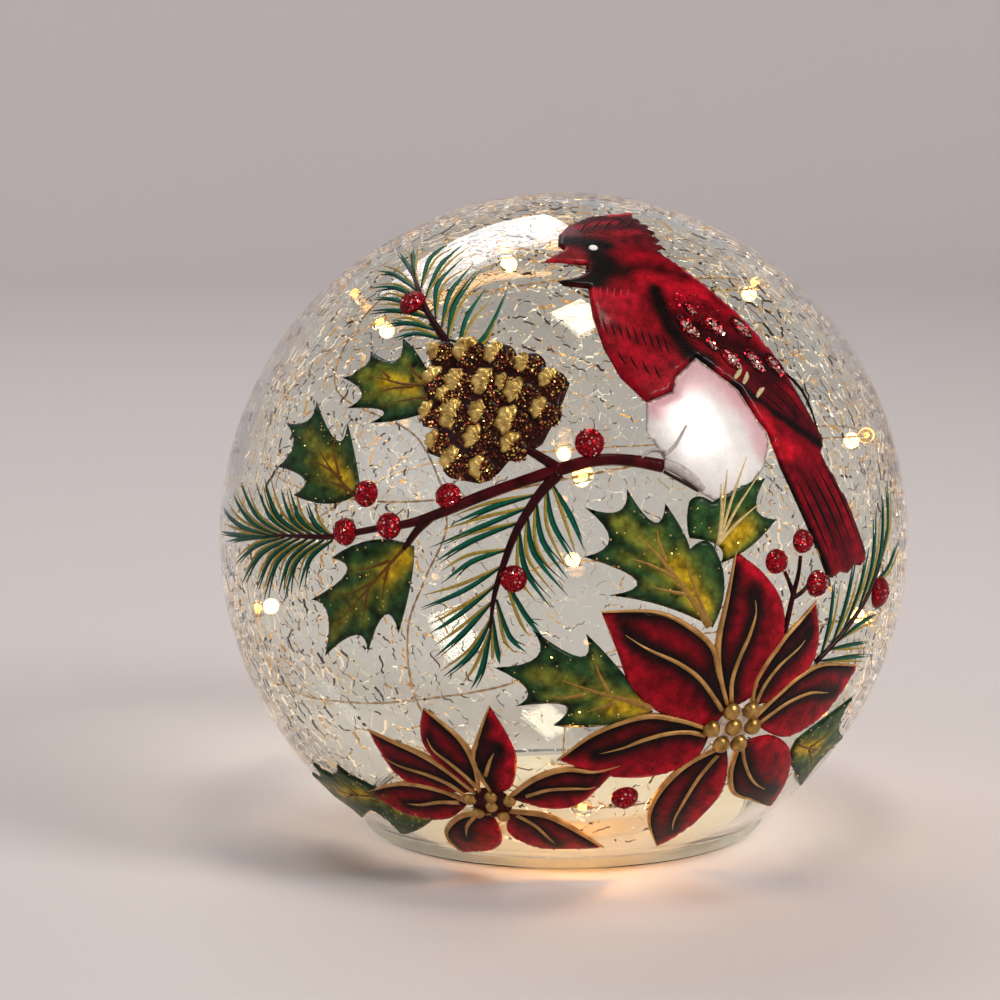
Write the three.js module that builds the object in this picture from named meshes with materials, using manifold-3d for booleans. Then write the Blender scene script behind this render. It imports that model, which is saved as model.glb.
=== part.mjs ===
// Lit crackle-glass ball with raised hand-painted enamel. A glass globe with a flat cut foot stands
// over a low plastic base that holds two coin cells, a timer board and a slide switch. A string of
// small lights lies inside the globe. Millimetres, +Z up, the painted side faces -Y, and the origin
// is at the middle of the underside.
import * as THREE from "three";
import { mergeVertices } from "three/addons/utils/BufferGeometryUtils.js";
import { TessellateModifier } from "three/addons/modifiers/TessellateModifier.js";
import Module from "manifold-3d";

// ---- Driving dimensions ----
const GLOBE_R = 89;
const GLASS_WALL = 3;
const GLOBE_CENTRE_Z = 75.5;
const FOOT_RIM_Z = 0.9; // the cut edge of the glass stands this far off the table
const RIM_INNER_R = 49.6;
const RIM_OUTER_R = 51.6;
const RIM_BEVEL = { out: 1, top: 2.2 };
const GAP = 0.3; // clearance between pieces that rest on each other
const OVERLAP = 0.1; // how far solids run into each other where they join

const BASE_R = 48.4;
const SHELL_FLOOR = 1.2; // wall of the lower shell
const PLATE_TOP_Z = 4.0; // top of the cover's flat rim
const PLATE_WALL = 1.5;
const EDGE = 0.5; // small bevel on moulded edges
const HOUSING_R = 32;
const HOUSING_TOP_Z = 8.6;
const HOUSING_WALL = 1.0;

const DOOR = { width: 44, depth: 23, y: -8 };
const DOOR_SCREWS = [[0, 1], [0, -17]];
const BASE_SCREWS = [[0, -25.5], [25, 11], [-25, 11]];
const BOSS_R = 2.5;
const BOSS_HEIGHT_OFF_FLOOR = 0.4;
const RIB = { wall: 1.2, top: 5.6 };
const POST = { r: 1.6, x: 13 };
const SCREW = { r: 1.1, headR: 2.0, headThick: 0.6, sink: 0.7, top: 6.2 };
const CROSS = { length: 2.4, width: 0.5, deep: 0.25 };
const FEET = { r: 4, ring: 41, count: 4 };

const CELL = { r: 10, thick: 3.2, x: 10.8, y: -8, z: 2.9 };
const BOARD = { width: 30, depth: 11, thick: 0.8, y: 14, z: 4.3 };
const CHIP = { width: 4.9, depth: 3.9, thick: 1.0, x: 3 };
const CONTACT = { width: 5, length: 22, thick: 0.3, x: 12.5, y: 0.5 };
const LINK = { width: 26, depth: 5 };
const SWITCH = { width: 9, depth: 4.4, y: 14, x: -6, travel: 4 };
const KNOB = { width: 2.2, depth: 1.8 };
const GROMMET = { x: 0, y: 24, hole: 2.4, lip: 1.2 };
const REST = 0.15; // clearance under pieces that are held by solder or spring pressure

const WIRE_R = 0.5;
const WIRE_STEP = 8;
const WIRE_SIDES = 5;
const LED = { r: 1.9, bore: 1.0, length: 5, endR: 1.4, shoulder: 1.6 };

const ROUND_STEPS = 16;
const GLOBE_STEPS = 36;

// ---- Materials ----
const paint = (color, roughness, metalness = 0) =>
  new THREE.MeshStandardMaterial({ color, roughness, metalness });
const MATERIAL = {
  glass: new THREE.MeshStandardMaterial({
    color: 0xe8efe9, roughness: 0.05, transparent: true, opacity: 0.3,
  }),
  plastic: paint(0xf3ead6, 0.45),
  rubber: paint(0xdadad4, 0.7),
  steel: paint(0xb9bcc0, 0.3, 0.9),
  board: paint(0x2b6b3c, 0.5),
  chip: paint(0x151515, 0.4),
  copper: paint(0xc98a4a, 0.35, 0.8),
  resin: paint(0xfff0c4, 0.2),
  red: paint(0x9c0f1c, 0.25),
  green: paint(0x27452a, 0.35),
  brown: paint(0x3a0d0d, 0.3),
  gold: paint(0xb98a3d, 0.35, 0.5),
};

// ---- Solids ----
const wasm = await Module();
wasm.setup();

function toSolid(geometry) {
  const bare = geometry.clone();
  for (const name of Object.keys(bare.attributes)) {
    if (name !== "position") bare.deleteAttribute(name);
  }
  const merged = mergeVertices(bare, 1e-4);
  return new wasm.Manifold(new wasm.Mesh({
    numProp: 3,
    vertProperties: new Float32Array(merged.attributes.position.array),
    triVerts: new Uint32Array(merged.index.array),
  }));
}

function toGeometry(solid) {
  const { vertProperties, triVerts } = solid.getMesh();
  const geometry = new THREE.BufferGeometry();
  geometry.setAttribute("position", new THREE.BufferAttribute(new Float32Array(vertProperties), 3));
  geometry.setIndex(new THREE.BufferAttribute(new Uint32Array(triVerts), 1));
  geometry.computeVertexNormals();
  return geometry;
}

const group = new THREE.Group();

function add(name, shape, material) {
  const geometry = shape.isBufferGeometry ? shape : toGeometry(shape);
  const mesh = new THREE.Mesh(geometry, material);
  mesh.name = name;
  group.add(mesh);
  return mesh;
}

const lathe = (profile, steps = ROUND_STEPS) =>
  new THREE.LatheGeometry(profile.map(([r, z]) => new THREE.Vector2(r, z)), steps).rotateX(Math.PI / 2);

function disc(r, low, high, x = 0, y = 0, steps = ROUND_STEPS) {
  const geometry = new THREE.CylinderGeometry(r, r, high - low, steps).rotateX(Math.PI / 2);
  return geometry.translate(x, y, (low + high) / 2);
}

function box(width, depth, low, high, x = 0, y = 0) {
  return new THREE.BoxGeometry(width, depth, high - low).translate(x, y, (low + high) / 2);
}

const discSolid = (...sizes) => toSolid(disc(...sizes));
const boxSolid = (...sizes) => toSolid(box(...sizes));

// ---- Globe, seal and feet ----
// Points along a circle about the globe's centre, by angle from straight up.
const arc = (r, from, to, steps) => Array.from({ length: steps + 1 }, (_, i) => {
  const angle = from + ((to - from) * i) / steps;
  return [r * Math.sin(angle), GLOBE_CENTRE_Z + r * Math.cos(angle)];
});
const glassInnerR = GLOBE_R - GLASS_WALL;
const innerFoot = Math.PI - Math.asin(RIM_INNER_R / glassInnerR);
const outerFoot = Math.acos((PLATE_TOP_Z - GLOBE_CENTRE_Z) / GLOBE_R);
const globeProfile = [
  ...arc(glassInnerR, 0, innerFoot, 12),
  [RIM_INNER_R, FOOT_RIM_Z],
  [RIM_OUTER_R, FOOT_RIM_Z],
  [RIM_OUTER_R + RIM_BEVEL.out, RIM_BEVEL.top],
  ...arc(GLOBE_R, outerFoot, 0, 13),
];
add("glass_globe", lathe(globeProfile, GLOBE_STEPS), MATERIAL.glass);

const SEAL = { low: 1.3, high: 3.6 };
const sealIn = BASE_R + GAP;
const sealOut = RIM_INNER_R - GAP;
const sealProfile = [
  [sealIn, SEAL.low], [sealOut, SEAL.low], [sealOut, SEAL.high], [sealIn, SEAL.high], [sealIn, SEAL.low],
];
add("base_seal", lathe(sealProfile, GLOBE_STEPS), MATERIAL.rubber);

for (let i = 0; i < FEET.count; i++) {
  const angle = ((i + 0.5) / FEET.count) * 2 * Math.PI;
  const x = FEET.ring * Math.cos(angle);
  const y = FEET.ring * Math.sin(angle);
  const foot = disc(FEET.r, 0, FOOT_RIM_Z - GAP, x, y, 12);
  add(`foot_${i + 1}`, foot, MATERIAL.rubber);
}

// ---- Base: cover, lower shell, door and fasteners ----
const ceiling = HOUSING_TOP_Z - HOUSING_WALL;
const floorTop = FOOT_RIM_Z + SHELL_FLOOR;
const housingIn = HOUSING_R - RIB.wall;
const coverProfile = [
  [0, ceiling], [housingIn, ceiling], [housingIn, PLATE_TOP_Z - PLATE_WALL],
  [BASE_R, PLATE_TOP_Z - PLATE_WALL], [BASE_R, PLATE_TOP_Z - EDGE], [BASE_R - EDGE, PLATE_TOP_Z],
  [HOUSING_R, PLATE_TOP_Z], [HOUSING_R, HOUSING_TOP_Z - EDGE], [HOUSING_R - EDGE, HOUSING_TOP_Z],
  [0, HOUSING_TOP_Z],
];
let cover = toSolid(lathe(coverProfile, GLOBE_STEPS));
const bossBottom = floorTop + BOSS_HEIGHT_OFF_FLOOR;
for (const [x, y] of [...BASE_SCREWS, ...DOOR_SCREWS]) {
  cover = cover.add(discSolid(BOSS_R, bossBottom, ceiling + OVERLAP, x, y, 8));
}
for (const [x, y] of [...BASE_SCREWS, ...DOOR_SCREWS]) {
  cover = cover.subtract(discSolid(SCREW.r + GAP, bossBottom - 1, ceiling - EDGE, x, y, 8));
}
cover = cover.subtract(discSolid(GROMMET.hole, ceiling - 1, HOUSING_TOP_Z + 1, GROMMET.x, GROMMET.y, 12));
add("base_cover", cover, MATERIAL.plastic);

let shell = discSolid(BASE_R, FOOT_RIM_Z, floorTop, 0, 0, GLOBE_STEPS);
const rib = (width, depth, x, y) => boxSolid(width, depth, floorTop - OVERLAP, RIB.top, x, y);
const ribX = DOOR.width / 2 + 1;
const ribY = DOOR.depth / 2 + 1;
for (const side of [-1, 1]) {
  shell = shell.add(rib(RIB.wall, 12, side * ribX, DOOR.y));
  shell = shell.add(rib(12, RIB.wall, side * 13, DOOR.y + ribY));
  shell = shell.add(rib(8, RIB.wall, side * 13, DOOR.y - ribY));
  shell = shell.add(discSolid(POST.r, floorTop - OVERLAP, BOARD.z - GAP, side * POST.x, BOARD.y, 10));
}
const through = floorTop + BOSS_HEIGHT_OFF_FLOOR;
const doorWay = boxSolid(DOOR.width + 2 * GAP, DOOR.depth + 2 * GAP, 0, through, 0, DOOR.y);
const slotX = SWITCH.x + SWITCH.travel / 2;
const knobSlot = boxSolid(SWITCH.travel + 4, 3.4, 0, through, slotX, SWITCH.y);
shell = shell.subtract(doorWay).subtract(knobSlot);

function screwHole(solid, x, y) {
  const shank = discSolid(SCREW.r + GAP, 0, through, x, y, 8);
  const sink = discSolid(SCREW.headR + GAP, 0, FOOT_RIM_Z + SCREW.sink, x, y, 10);
  return solid.subtract(shank).subtract(sink);
}
for (const [x, y] of BASE_SCREWS) {
  shell = screwHole(shell, x, y);
}
add("base_shell", shell, MATERIAL.plastic);

let door = boxSolid(DOOR.width, DOOR.depth, FOOT_RIM_Z, floorTop, 0, DOOR.y);
for (const [x, y] of DOOR_SCREWS) {
  door = screwHole(door, x, y);
}
const fingerGroove = boxSolid(10, 1.0, 0, FOOT_RIM_Z + 0.4, 15, DOOR.y);
add("battery_door", door.subtract(fingerGroove), MATERIAL.plastic);

function screw(x, y) {
  const headTop = FOOT_RIM_Z + SCREW.headThick;
  const head = discSolid(SCREW.headR, FOOT_RIM_Z - OVERLAP, headTop, x, y, 10);
  const shank = discSolid(SCREW.r, headTop - OVERLAP, SCREW.top, x, y, 8);
  const slot = (w, d) => boxSolid(w, d, FOOT_RIM_Z - GAP, FOOT_RIM_Z + CROSS.deep, x, y);
  return head.add(shank).subtract(slot(CROSS.length, CROSS.width)).subtract(slot(CROSS.width, CROSS.length));
}
BASE_SCREWS.forEach(([x, y], i) => add(`base_screw_${i + 1}`, screw(x, y), MATERIAL.steel));
DOOR_SCREWS.forEach(([x, y], i) => add(`door_screw_${i + 1}`, screw(x, y), MATERIAL.steel));

// ---- Power and control ----
[-1, 1].forEach((side, i) => {
  const cell = lathe([
    [0, 0], [CELL.r - 1.6, 0], [CELL.r - 1.5, 0.5], [CELL.r, 0.8], [CELL.r, CELL.thick], [0, CELL.thick],
  ]);
  add(`coin_cell_${i + 1}`, cell.translate(side * CELL.x, CELL.y, CELL.z), MATERIAL.steel);
});
const contactLow = CELL.z + CELL.thick + GAP;
const contact = (side) =>
  box(CONTACT.width, CONTACT.length, contactLow, contactLow + CONTACT.thick, side * CONTACT.x, CONTACT.y);
add("contact_plus", contact(1), MATERIAL.steel);
add("contact_minus", contact(-1), MATERIAL.steel);
add("door_link", box(LINK.width, LINK.depth, floorTop + REST, CELL.z - REST, 0, CELL.y), MATERIAL.steel);

const boardTop = BOARD.z + BOARD.thick;
add("timer_board", box(BOARD.width, BOARD.depth, BOARD.z, boardTop, 0, BOARD.y), MATERIAL.board);
const chipLow = boardTop + REST;
const chip = box(CHIP.width, CHIP.depth, chipLow, chipLow + CHIP.thick, CHIP.x, BOARD.y);
add("timer_chip", chip, MATERIAL.chip);

const switchTop = BOARD.z - GAP;
const switchLow = floorTop + REST;
const caseWidth = SWITCH.width + SWITCH.travel;
const switchCase = boxSolid(caseWidth, SWITCH.depth, switchLow, switchTop, slotX, SWITCH.y);
const knobWay = boxSolid(SWITCH.travel + 3.4, 2.6, floorTop - OVERLAP, switchTop - EDGE, slotX, SWITCH.y);
add("switch_body", switchCase.subtract(knobWay), MATERIAL.chip);
const knobTop = switchTop - EDGE - GAP;
add("switch_knob", box(KNOB.width, KNOB.depth, FOOT_RIM_Z - GAP, knobTop, SWITCH.x, SWITCH.y), MATERIAL.chip);

const collar = GROMMET.hole - GAP;
const lip = collar + GROMMET.lip;
const grommetTop = HOUSING_TOP_Z + 1.2;
const bore = WIRE_R + GAP;
const grommet = lathe([
  [bore, ceiling - 0.9], [lip, ceiling - 0.9], [lip, ceiling - GAP], [collar, ceiling - GAP],
  [collar, HOUSING_TOP_Z + GAP], [lip, HOUSING_TOP_Z + GAP], [lip - 0.4, grommetTop], [bore, grommetTop],
  [bore, ceiling - 0.9],
], 10);
add("wire_grommet", grommet.translate(GROMMET.x, GROMMET.y, 0), MATERIAL.rubber);

// ---- String of lights ----
// Route by bearing (0 = front, 90 = +X), height angle and distance from the centre of the globe.
// A fourth value marks a light.
const LIT = true;
const ROUTE = [
  [170, -36, 78], [148, -29, 82], [118, -22, 83], [84, -14, 83, LIT], [52, -8, 83], [24, -12, 83],
  [-1, -10.8, 83, LIT], [-10.4, -14.4, 83.2], [-24.6, -17.8, 83.2], [-39.7, -20.6, 83], [-66, -22, 83],
  [-92, -14, 83, LIT], [-120, -4, 82], [-150, 4, 83], [180, 6, 83, LIT], [148, 10, 82], [114, 17, 83],
  [79.3, 20.3, 83, LIT], [44, 24, 83], [22, 23.4, 83], [3.3, 20.9, 83, LIT], [-14, 17.6, 82.6],
  [-33.5, 15, 83], [-62, 16, 83], [-96, 26, 82], [-130, 38, 83, LIT], [-170, 46, 82],
  [140, 50, 83], [100, 52, 83, LIT], [60, 54, 82], [16, 60, 83], [-27, 68, 83, LIT], [-62, 52, 82],
  [-56, 34, 81], [-28, 26, 80.6], [-20.3, 12.6, 81.4], [-23.6, 3, 82], [-27, -6, 82],
  [-26.6, -21.5, 81.4], [-14, -34, 82], [4.1, -41.7, 82.4, LIT], [36, -40, 82], [80, -38, 82],
  [116, -36, 81, LIT], [146, -22, 79.4], [178, -16, 80, LIT], [-150, -26, 80],
];
const rad = THREE.MathUtils.degToRad;
function inside([bearing, height, distance]) {
  const across = distance * Math.cos(rad(height));
  return new THREE.Vector3(
    across * Math.sin(rad(bearing)),
    -across * Math.cos(rad(bearing)),
    GLOBE_CENTRE_Z + distance * Math.sin(rad(height)),
  );
}
// The lead leaves the board, passes straight up through the grommet and bends over to the wall.
const LEAD_OUT = [[0, 24, 5.8], [0, 24, 8.6], [0, 24, 12], [1, 28, 21], [3, 42, 27]];
const leadOut = LEAD_OUT.map((point) => new THREE.Vector3(...point));
const wirePath = new THREE.CatmullRomCurve3([...leadOut, ...ROUTE.map(inside)], false, "centripetal");
wirePath.arcLengthDivisions = 1200;
const wireSection = new THREE.Shape(
  Array.from({ length: WIRE_SIDES }, (_, i) => new THREE.Vector2(
    WIRE_R * Math.cos((i / WIRE_SIDES) * 2 * Math.PI),
    WIRE_R * Math.sin((i / WIRE_SIDES) * 2 * Math.PI),
  )),
);
const wire = new THREE.ExtrudeGeometry(wireSection, {
  steps: Math.round(wirePath.getLength() / WIRE_STEP), extrudePath: wirePath, bevelEnabled: false,
});
add("light_wire", wire, MATERIAL.copper);

const litPlaces = ROUTE.map((place, i) => (place[3] ? leadOut.length + i : -1)).filter((i) => i >= 0);
litPlaces.forEach((place, i) => {
  const half = LED.length / 2;
  const straight = half - LED.shoulder;
  const drop = lathe([
    [LED.bore, -half], [LED.endR, -half], [LED.r, -straight], [LED.r, straight], [LED.endR, half],
    [LED.bore, half], [LED.bore, -half],
  ], 6);
  const along = place / (leadOut.length + ROUTE.length - 1);
  const mesh = add(`led_${String(i + 1).padStart(2, "0")}`, drop, MATERIAL.resin);
  mesh.position.copy(wirePath.getPoint(along));
  mesh.quaternion.setFromUnitVectors(new THREE.Vector3(0, 0, 1), wirePath.getTangent(along));
});

// ---- Raised enamel ----
// The painting is laid out on a chart of the globe's front, in millimetres: u to the right, v up,
// measured along the glass from a point TILT degrees above the equator.
const TILT = rad(11);
const CHART_RIGHT = new THREE.Vector3(1, 0, 0);
const CHART_OUT = new THREE.Vector3(0, -Math.cos(TILT), Math.sin(TILT));
const CHART_UP = new THREE.Vector3(0, Math.sin(TILT), Math.cos(TILT));
const ENAMEL_STEP = 12; // longest edge, so that the enamel follows the curve of the glass

function onGlobe(u, v, height) {
  const turn = Math.hypot(u, v) / GLOBE_R;
  const spread = turn < 1e-9 ? 1 / GLOBE_R : Math.sin(turn) / turn / GLOBE_R;
  return new THREE.Vector3()
    .addScaledVector(CHART_OUT, Math.cos(turn))
    .addScaledVector(CHART_RIGHT, u * spread)
    .addScaledVector(CHART_UP, v * spread)
    .multiplyScalar(GLOBE_R + height)
    .add(new THREE.Vector3(0, 0, GLOBE_CENTRE_Z));
}

function enamel(points, low, high) {
  const shape = new THREE.Shape(points.map(([u, v]) => new THREE.Vector2(u, v)));
  const flat = new THREE.ExtrudeGeometry(shape, { depth: high - low, steps: 1, bevelEnabled: false });
  const fine = new TessellateModifier(ENAMEL_STEP, 12).modify(flat);
  const position = fine.attributes.position;
  for (let i = 0; i < position.count; i++) {
    const p = onGlobe(position.getX(i), position.getY(i), low + position.getZ(i));
    position.setXYZ(i, p.x, p.y, p.z);
  }
  return toSolid(fine);
}

const PETAL_STEPS = 6;
const smooth = (points) => new THREE.SplineCurve(points.map(([u, v]) => new THREE.Vector2(u, v)))
  .getPoints(PETAL_STEPS).map((p) => [p.x, p.y]);

// A petal is bounded by two smooth edges that both run from its root to its tip.
function petal(root, edgeA, tip, edgeB) {
  const a = smooth([root, ...edgeA, tip]);
  const b = smooth([root, ...edgeB, tip]);
  return [...a, ...b.slice(1, -1).reverse()];
}

// A holly leaf's outline runs from point to point in arcs that pass through the hollows between them.
const LEAF_ARC_STEPS = 3;
function hollyLeaf(stem, stations) {
  const outline = [];
  let from = stem;
  for (const [hollow, point] of stations) {
    const start = from;
    const control = [0, 1].map((k) => 2 * hollow[k] - (start[k] + point[k]) / 2);
    const curve = (t, k) => (1 - t) ** 2 * start[k] + 2 * t * (1 - t) * control[k] + t * t * point[k];
    for (let i = 0; i < LEAF_ARC_STEPS; i++) {
      outline.push([0, 1].map((k) => curve(i / LEAF_ARC_STEPS, k)));
    }
    from = point;
  }
  return outline;
}

// A stroke of the brush: a line through points, each with its own width.
function stroke(points) {
  const side = (sign) => points.map(([u, v, width], i) => {
    const [u0, v0] = points[Math.max(i - 1, 0)];
    const [u1, v1] = points[Math.min(i + 1, points.length - 1)];
    const length = Math.hypot(u1 - u0, v1 - v0);
    return [u - (sign * (v1 - v0) * width) / 2 / length, v + (sign * (u1 - u0) * width) / 2 / length];
  });
  return [...side(1), ...side(-1).reverse()];
}

const circle = (u, v, r, count = 12) => Array.from({ length: count }, (_, i) => [
  u + r * Math.cos((i / count) * 2 * Math.PI),
  v + r * Math.sin((i / count) * 2 * Math.PI),
]);

// Moves an outline outwards by a small margin, so that what is cut by it stays clear.
function grown(points, margin) {
  const turning = points.reduce((sum, [u, v], i) => {
    const [u1, v1] = points[(i + 1) % points.length];
    return sum + u * v1 - u1 * v;
  }, 0);
  const sign = turning > 0 ? 1 : -1;
  return points.map(([u, v], i) => {
    const [u0, v0] = points[(i + points.length - 1) % points.length];
    const [u1, v1] = points[(i + 1) % points.length];
    const length = Math.hypot(u1 - u0, v1 - v0) || 1;
    return [u + (sign * (v1 - v0) * margin) / length, v - (sign * (u1 - u0) * margin) / length];
  });
}

const BERRIES = [
  [-49.6, 10.8, 3.4], [-55.7, 1.2, 3.5], [-43, 2.6, 3.4], [-27.6, 9.7, 3.3], [6.2, 22.2, 3.7],
  [-11.8, -10, 3.4], [54, -6.3, 3.2], [62.2, -1.2, 3.1], [67.5, -12.5, 3.5], [16.5, -70.5, 3.6],
];

const BRANCH = [
  [[24, 17, 3.4], [16, 18.2, 3], [8, 18.2, 3], [0, 16.2, 3.2], [-10, 13, 2.8], [-20, 9.5, 2.8],
    [-30, 5.6, 2.6], [-38, 3.2, 2.2], [-48, 1.8, 1.8], [-60, 0, 1.7], [-72, 0.1, 1.2], [-82, 0.4, 0.6]],
  [[-1, 16, 2.8], [-5, 18.6, 2.4], [-9, 21, 2]],
  [[-1, 15, 3], [-6, 9.6, 2.4], [-11, 1.5, 2], [-14, -6, 1.7], [-16.5, -14, 1.3], [-17.6, -22, 0.7]],
  [[-31, 5.4, 2.2], [-35.5, 1.6, 2], [-39, -3, 1.3]],
];

const PINECONE = [
  [-30, 50], [-26, 47], [-22, 50], [-19, 46.6], [-15, 47.8], [-11.5, 45], [-7.5, 45.2], [-4.5, 41.5],
  [-1, 40.5], [1.6, 37.5], [0, 33], [-2, 28], [-5, 22], [-9, 19.5], [-13, 18], [-15.5, 15], [-20, 12.6],
  [-24, 13.4], [-27.6, 17], [-29.5, 19], [-33.6, 20.6], [-33.6, 23.6], [-31, 26.4], [-35, 27.4],
  [-36, 30.6], [-34, 33.6], [-35.8, 38], [-33.6, 42], [-34.6, 46.6],
];

const CARDINAL = [
  [-4.5, 75.5], [0, 80.4], [-1.6, 82], [-1.5, 87], [1.5, 92], [7, 97], [14, 99.4], [22, 103], [21.6, 98.8],
  [24.4, 97.8], [22.6, 95.6], [26.4, 95.4], [25, 93], [28, 92.4], [26, 89.6], [29, 88.4], [26.8, 85.6],
  [30, 84.6], [27, 82.6], [36, 74], [46, 64.5], [52, 58], [57, 51.4], [62, 43.4], [67, 34], [71.4, 26.6],
  [71, 24.4], [70, 22.6], [79, 10.4], [86.6, -2], [87.6, -6.6], [85.6, -8.4], [82.6, -8], [79.6, -10.4],
  [76.6, -9.8], [73.6, -11.4], [71, -10.4], [61, 8], [56, 17.5], [52.6, 27], [50, 17.5], [45, 10.6],
  [37, 8.6], [30, 12.6], [24, 19], [20, 25.6], [20.2, 32.8], [14, 39], [10, 47], [7.6, 56], [6.4, 65.6],
  [0, 66.4], [-1, 68.4], [4.6, 70], [3.4, 71.6], [6.4, 73.8], [0, 75],
];

// Each petal is its root, one edge, its tip and the other edge.
const LARGE_PETALS = [
  [[43, -45], [[39, -34], [36.5, -27], [29, -21], [21, -18]], [9, -18],
    [[38, -50], [25, -45], [17, -38], [13, -28]]],
  [[43, -45], [[39.6, -35], [38.6, -26], [40.6, -15]], [42.6, -3.6],
    [[50, -42], [57.6, -30], [57, -18], [51, -9.6]]],
  [[50, -45], [[50.6, -37], [57, -27.6], [62.6, -22.4]], [68, -17.4], [[57, -44], [68, -36], [70.2, -28]]],
  [[51, -49], [[58, -42.6], [65, -38], [74, -36.2]], [90, -39.6],
    [[56, -54], [65, -58], [76, -55], [84, -48]]],
  [[48, -56], [[47, -66], [50, -75], [58, -81]], [70, -91], [[58, -55.6], [67, -63], [71, -76]]],
  [[44, -56], [[33, -61], [26, -70], [24.4, -81]], [29, -96], [[46, -65], [45.4, -76], [38, -88]]],
  [[39, -51], [[30, -47], [20, -45.2], [8, -49.6]], [-1.6, -57.6], [[36, -59], [26, -64], [12, -63.4]]],
];
const LARGE_CENTRE = circle(45, -50, 7.5);

const SMALL_PETALS = [
  [[-24, -70], [[-31, -63], [-38, -58.4], [-46, -55.6]], [-54, -53], [[-32, -71], [-45, -69.4], [-51, -61]]],
  [[-23, -69], [[-23.4, -60], [-27, -52]], [-36, -44], [[-29, -66], [-36.6, -57], [-37.6, -50]]],
  [[-19, -70], [[-23.4, -59], [-22, -52]], [-18.4, -42], [[-14, -67], [-12, -58], [-14, -50.6]]],
  [[-15, -71], [[-8, -64], [0, -60.4], [8, -61.2]], [15, -59.4], [[-4, -74.6], [4, -73], [9.4, -67]]],
  [[-15, -76], [[-5, -77], [3, -83]], [12, -93], [[-16, -86], [-8, -92.6], [2, -93.4]]],
  [[-20, -77], [[-29, -80], [-35, -88], [-35, -95]], [-32, -101], [[-18, -88], [-21, -95.6]]],
  [[-26, -74], [[-33, -70.6], [-42, -69.6], [-50, -72]], [-60, -78], [[-34, -83], [-46, -85], [-54, -82]]],
];
const SMALL_CENTRE = circle(-20, -74, 6.5);

// Each leaf is its stem, then a hollow and a point for every prickle round the edge.
const LEAVES = [
  hollyLeaf([-34, 41], [
    [[-38.6, 48.4], [-43, 53]], [[-44.4, 46.4], [-52.6, 50.6]], [[-53, 47], [-56.4, 45.2]],
    [[-57.6, 44], [-61, 43.8]], [[-53.6, 38], [-58, 34.2]], [[-46.6, 32.4], [-50, 29.4]],
    [[-42, 29.4], [-34, 31]], [[-33, 36], [-34, 41]],
  ]),
  hollyLeaf([-51.6, 12], [
    [[-54, 21.5], [-57, 30]], [[-60.2, 25.6], [-69, 38]], [[-71.4, 32.4], [-80.6, 33]],
    [[-76, 25.6], [-82, 20]], [[-70.6, 15.6], [-74.4, 11.4]], [[-63, 8.6], [-54, 10]],
    [[-52.6, 10.6], [-51.6, 12]],
  ]),
  hollyLeaf([-36.4, -2.4], [
    [[-48, -0.8], [-60.6, -5.6]], [[-56, -9.4], [-68, -17]], [[-62.6, -21], [-65, -32.6]],
    [[-54, -25.6], [-50.8, -30.4]], [[-45, -19.8], [-41.4, -24.4]], [[-37.6, -12], [-36.4, -2.4]],
  ]),
  hollyLeaf([37, -22.6], [
    [[24, -16.8], [10.6, -14]], [[17.4, -10.6], [4.8, -4.8]], [[10.8, -0.6], [5, 6.9]],
    [[13, 6], [15, 11.4]], [[21.6, 3.4], [24.4, 8]], [[28.6, 1.6], [30.6, -3]], [[34.6, -1], [37.6, -4]],
    [[39.8, -13], [37, -22.6]],
  ]),
  hollyLeaf([38.6, -6.6], [
    [[38, -2.4], [30.4, -0.4]], [[29.8, 4], [30.4, 8.4]], [[33, 9.8], [36.6, 8.4]],
    [[43, 12.6], [51.4, 14.8]], [[48.6, 7], [54.4, 4.4]], [[46.8, -2.6], [38.6, -6.6]],
  ]),
  hollyLeaf([22.6, -44.2], [
    [[13.4, -32], [5.4, -23.2]], [[4, -29], [-7.8, -21.8]], [[-6.4, -29], [-17, -32]],
    [[-9, -37.6], [-12, -42.2]], [[0.4, -41.8], [-2.8, -47.4]], [[10, -47.6], [22.6, -44.2]],
  ]),
  hollyLeaf([-37, -82], [
    [[-46, -77], [-50, -70.6]], [[-55, -75], [-66, -72]], [[-60, -81], [-68, -90]],
    [[-59, -91], [-55, -101]], [[-46, -93], [-37, -82]],
  ]),
  hollyLeaf([69, -60], [
    [[80, -55], [94.4, -51]], [[90, -61], [101, -72]], [[88, -76], [85, -90]], [[76, -78], [70, -70]],
    [[68, -65], [69, -60]],
  ]),
];

const LOW = 0.35; // the enamel's own film under it, left as clearance from the glass
const CUT = { low: -2, high: 9, margin: 0.35 };
const HEIGHT = { pinecone: 2.2, branch: 1.2, cardinal: 1.0, flat: 0.9, berry: 2.7 };
const union = (outlines, low, high) =>
  outlines.map((outline) => enamel(outline, low, high)).reduce((all, one) => all.add(one));
const cutterOf = (outlines) =>
  union(outlines.map((outline) => grown(outline, CUT.margin)), CUT.low, CUT.high);

const largeOutlines = [...LARGE_PETALS.map((p) => petal(...p)), LARGE_CENTRE];
const smallOutlines = [...SMALL_PETALS.map((p) => petal(...p)), SMALL_CENTRE];
const branchOutlines = BRANCH.map(stroke);

// Upper layers cut the lower ones: berries, pinecone, branch, cardinal, flowers, then leaves.
let covered = cutterOf(BERRIES.map(([u, v, r]) => circle(u, v, r)));
function layer(name, outlines, height, material) {
  const solid = union(outlines, LOW, LOW + height).subtract(covered);
  const parts = solid.decompose().sort((a, b) => b.volume() - a.volume());
  add(name, parts[0], material);
  covered = covered.add(cutterOf(outlines));
}

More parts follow.
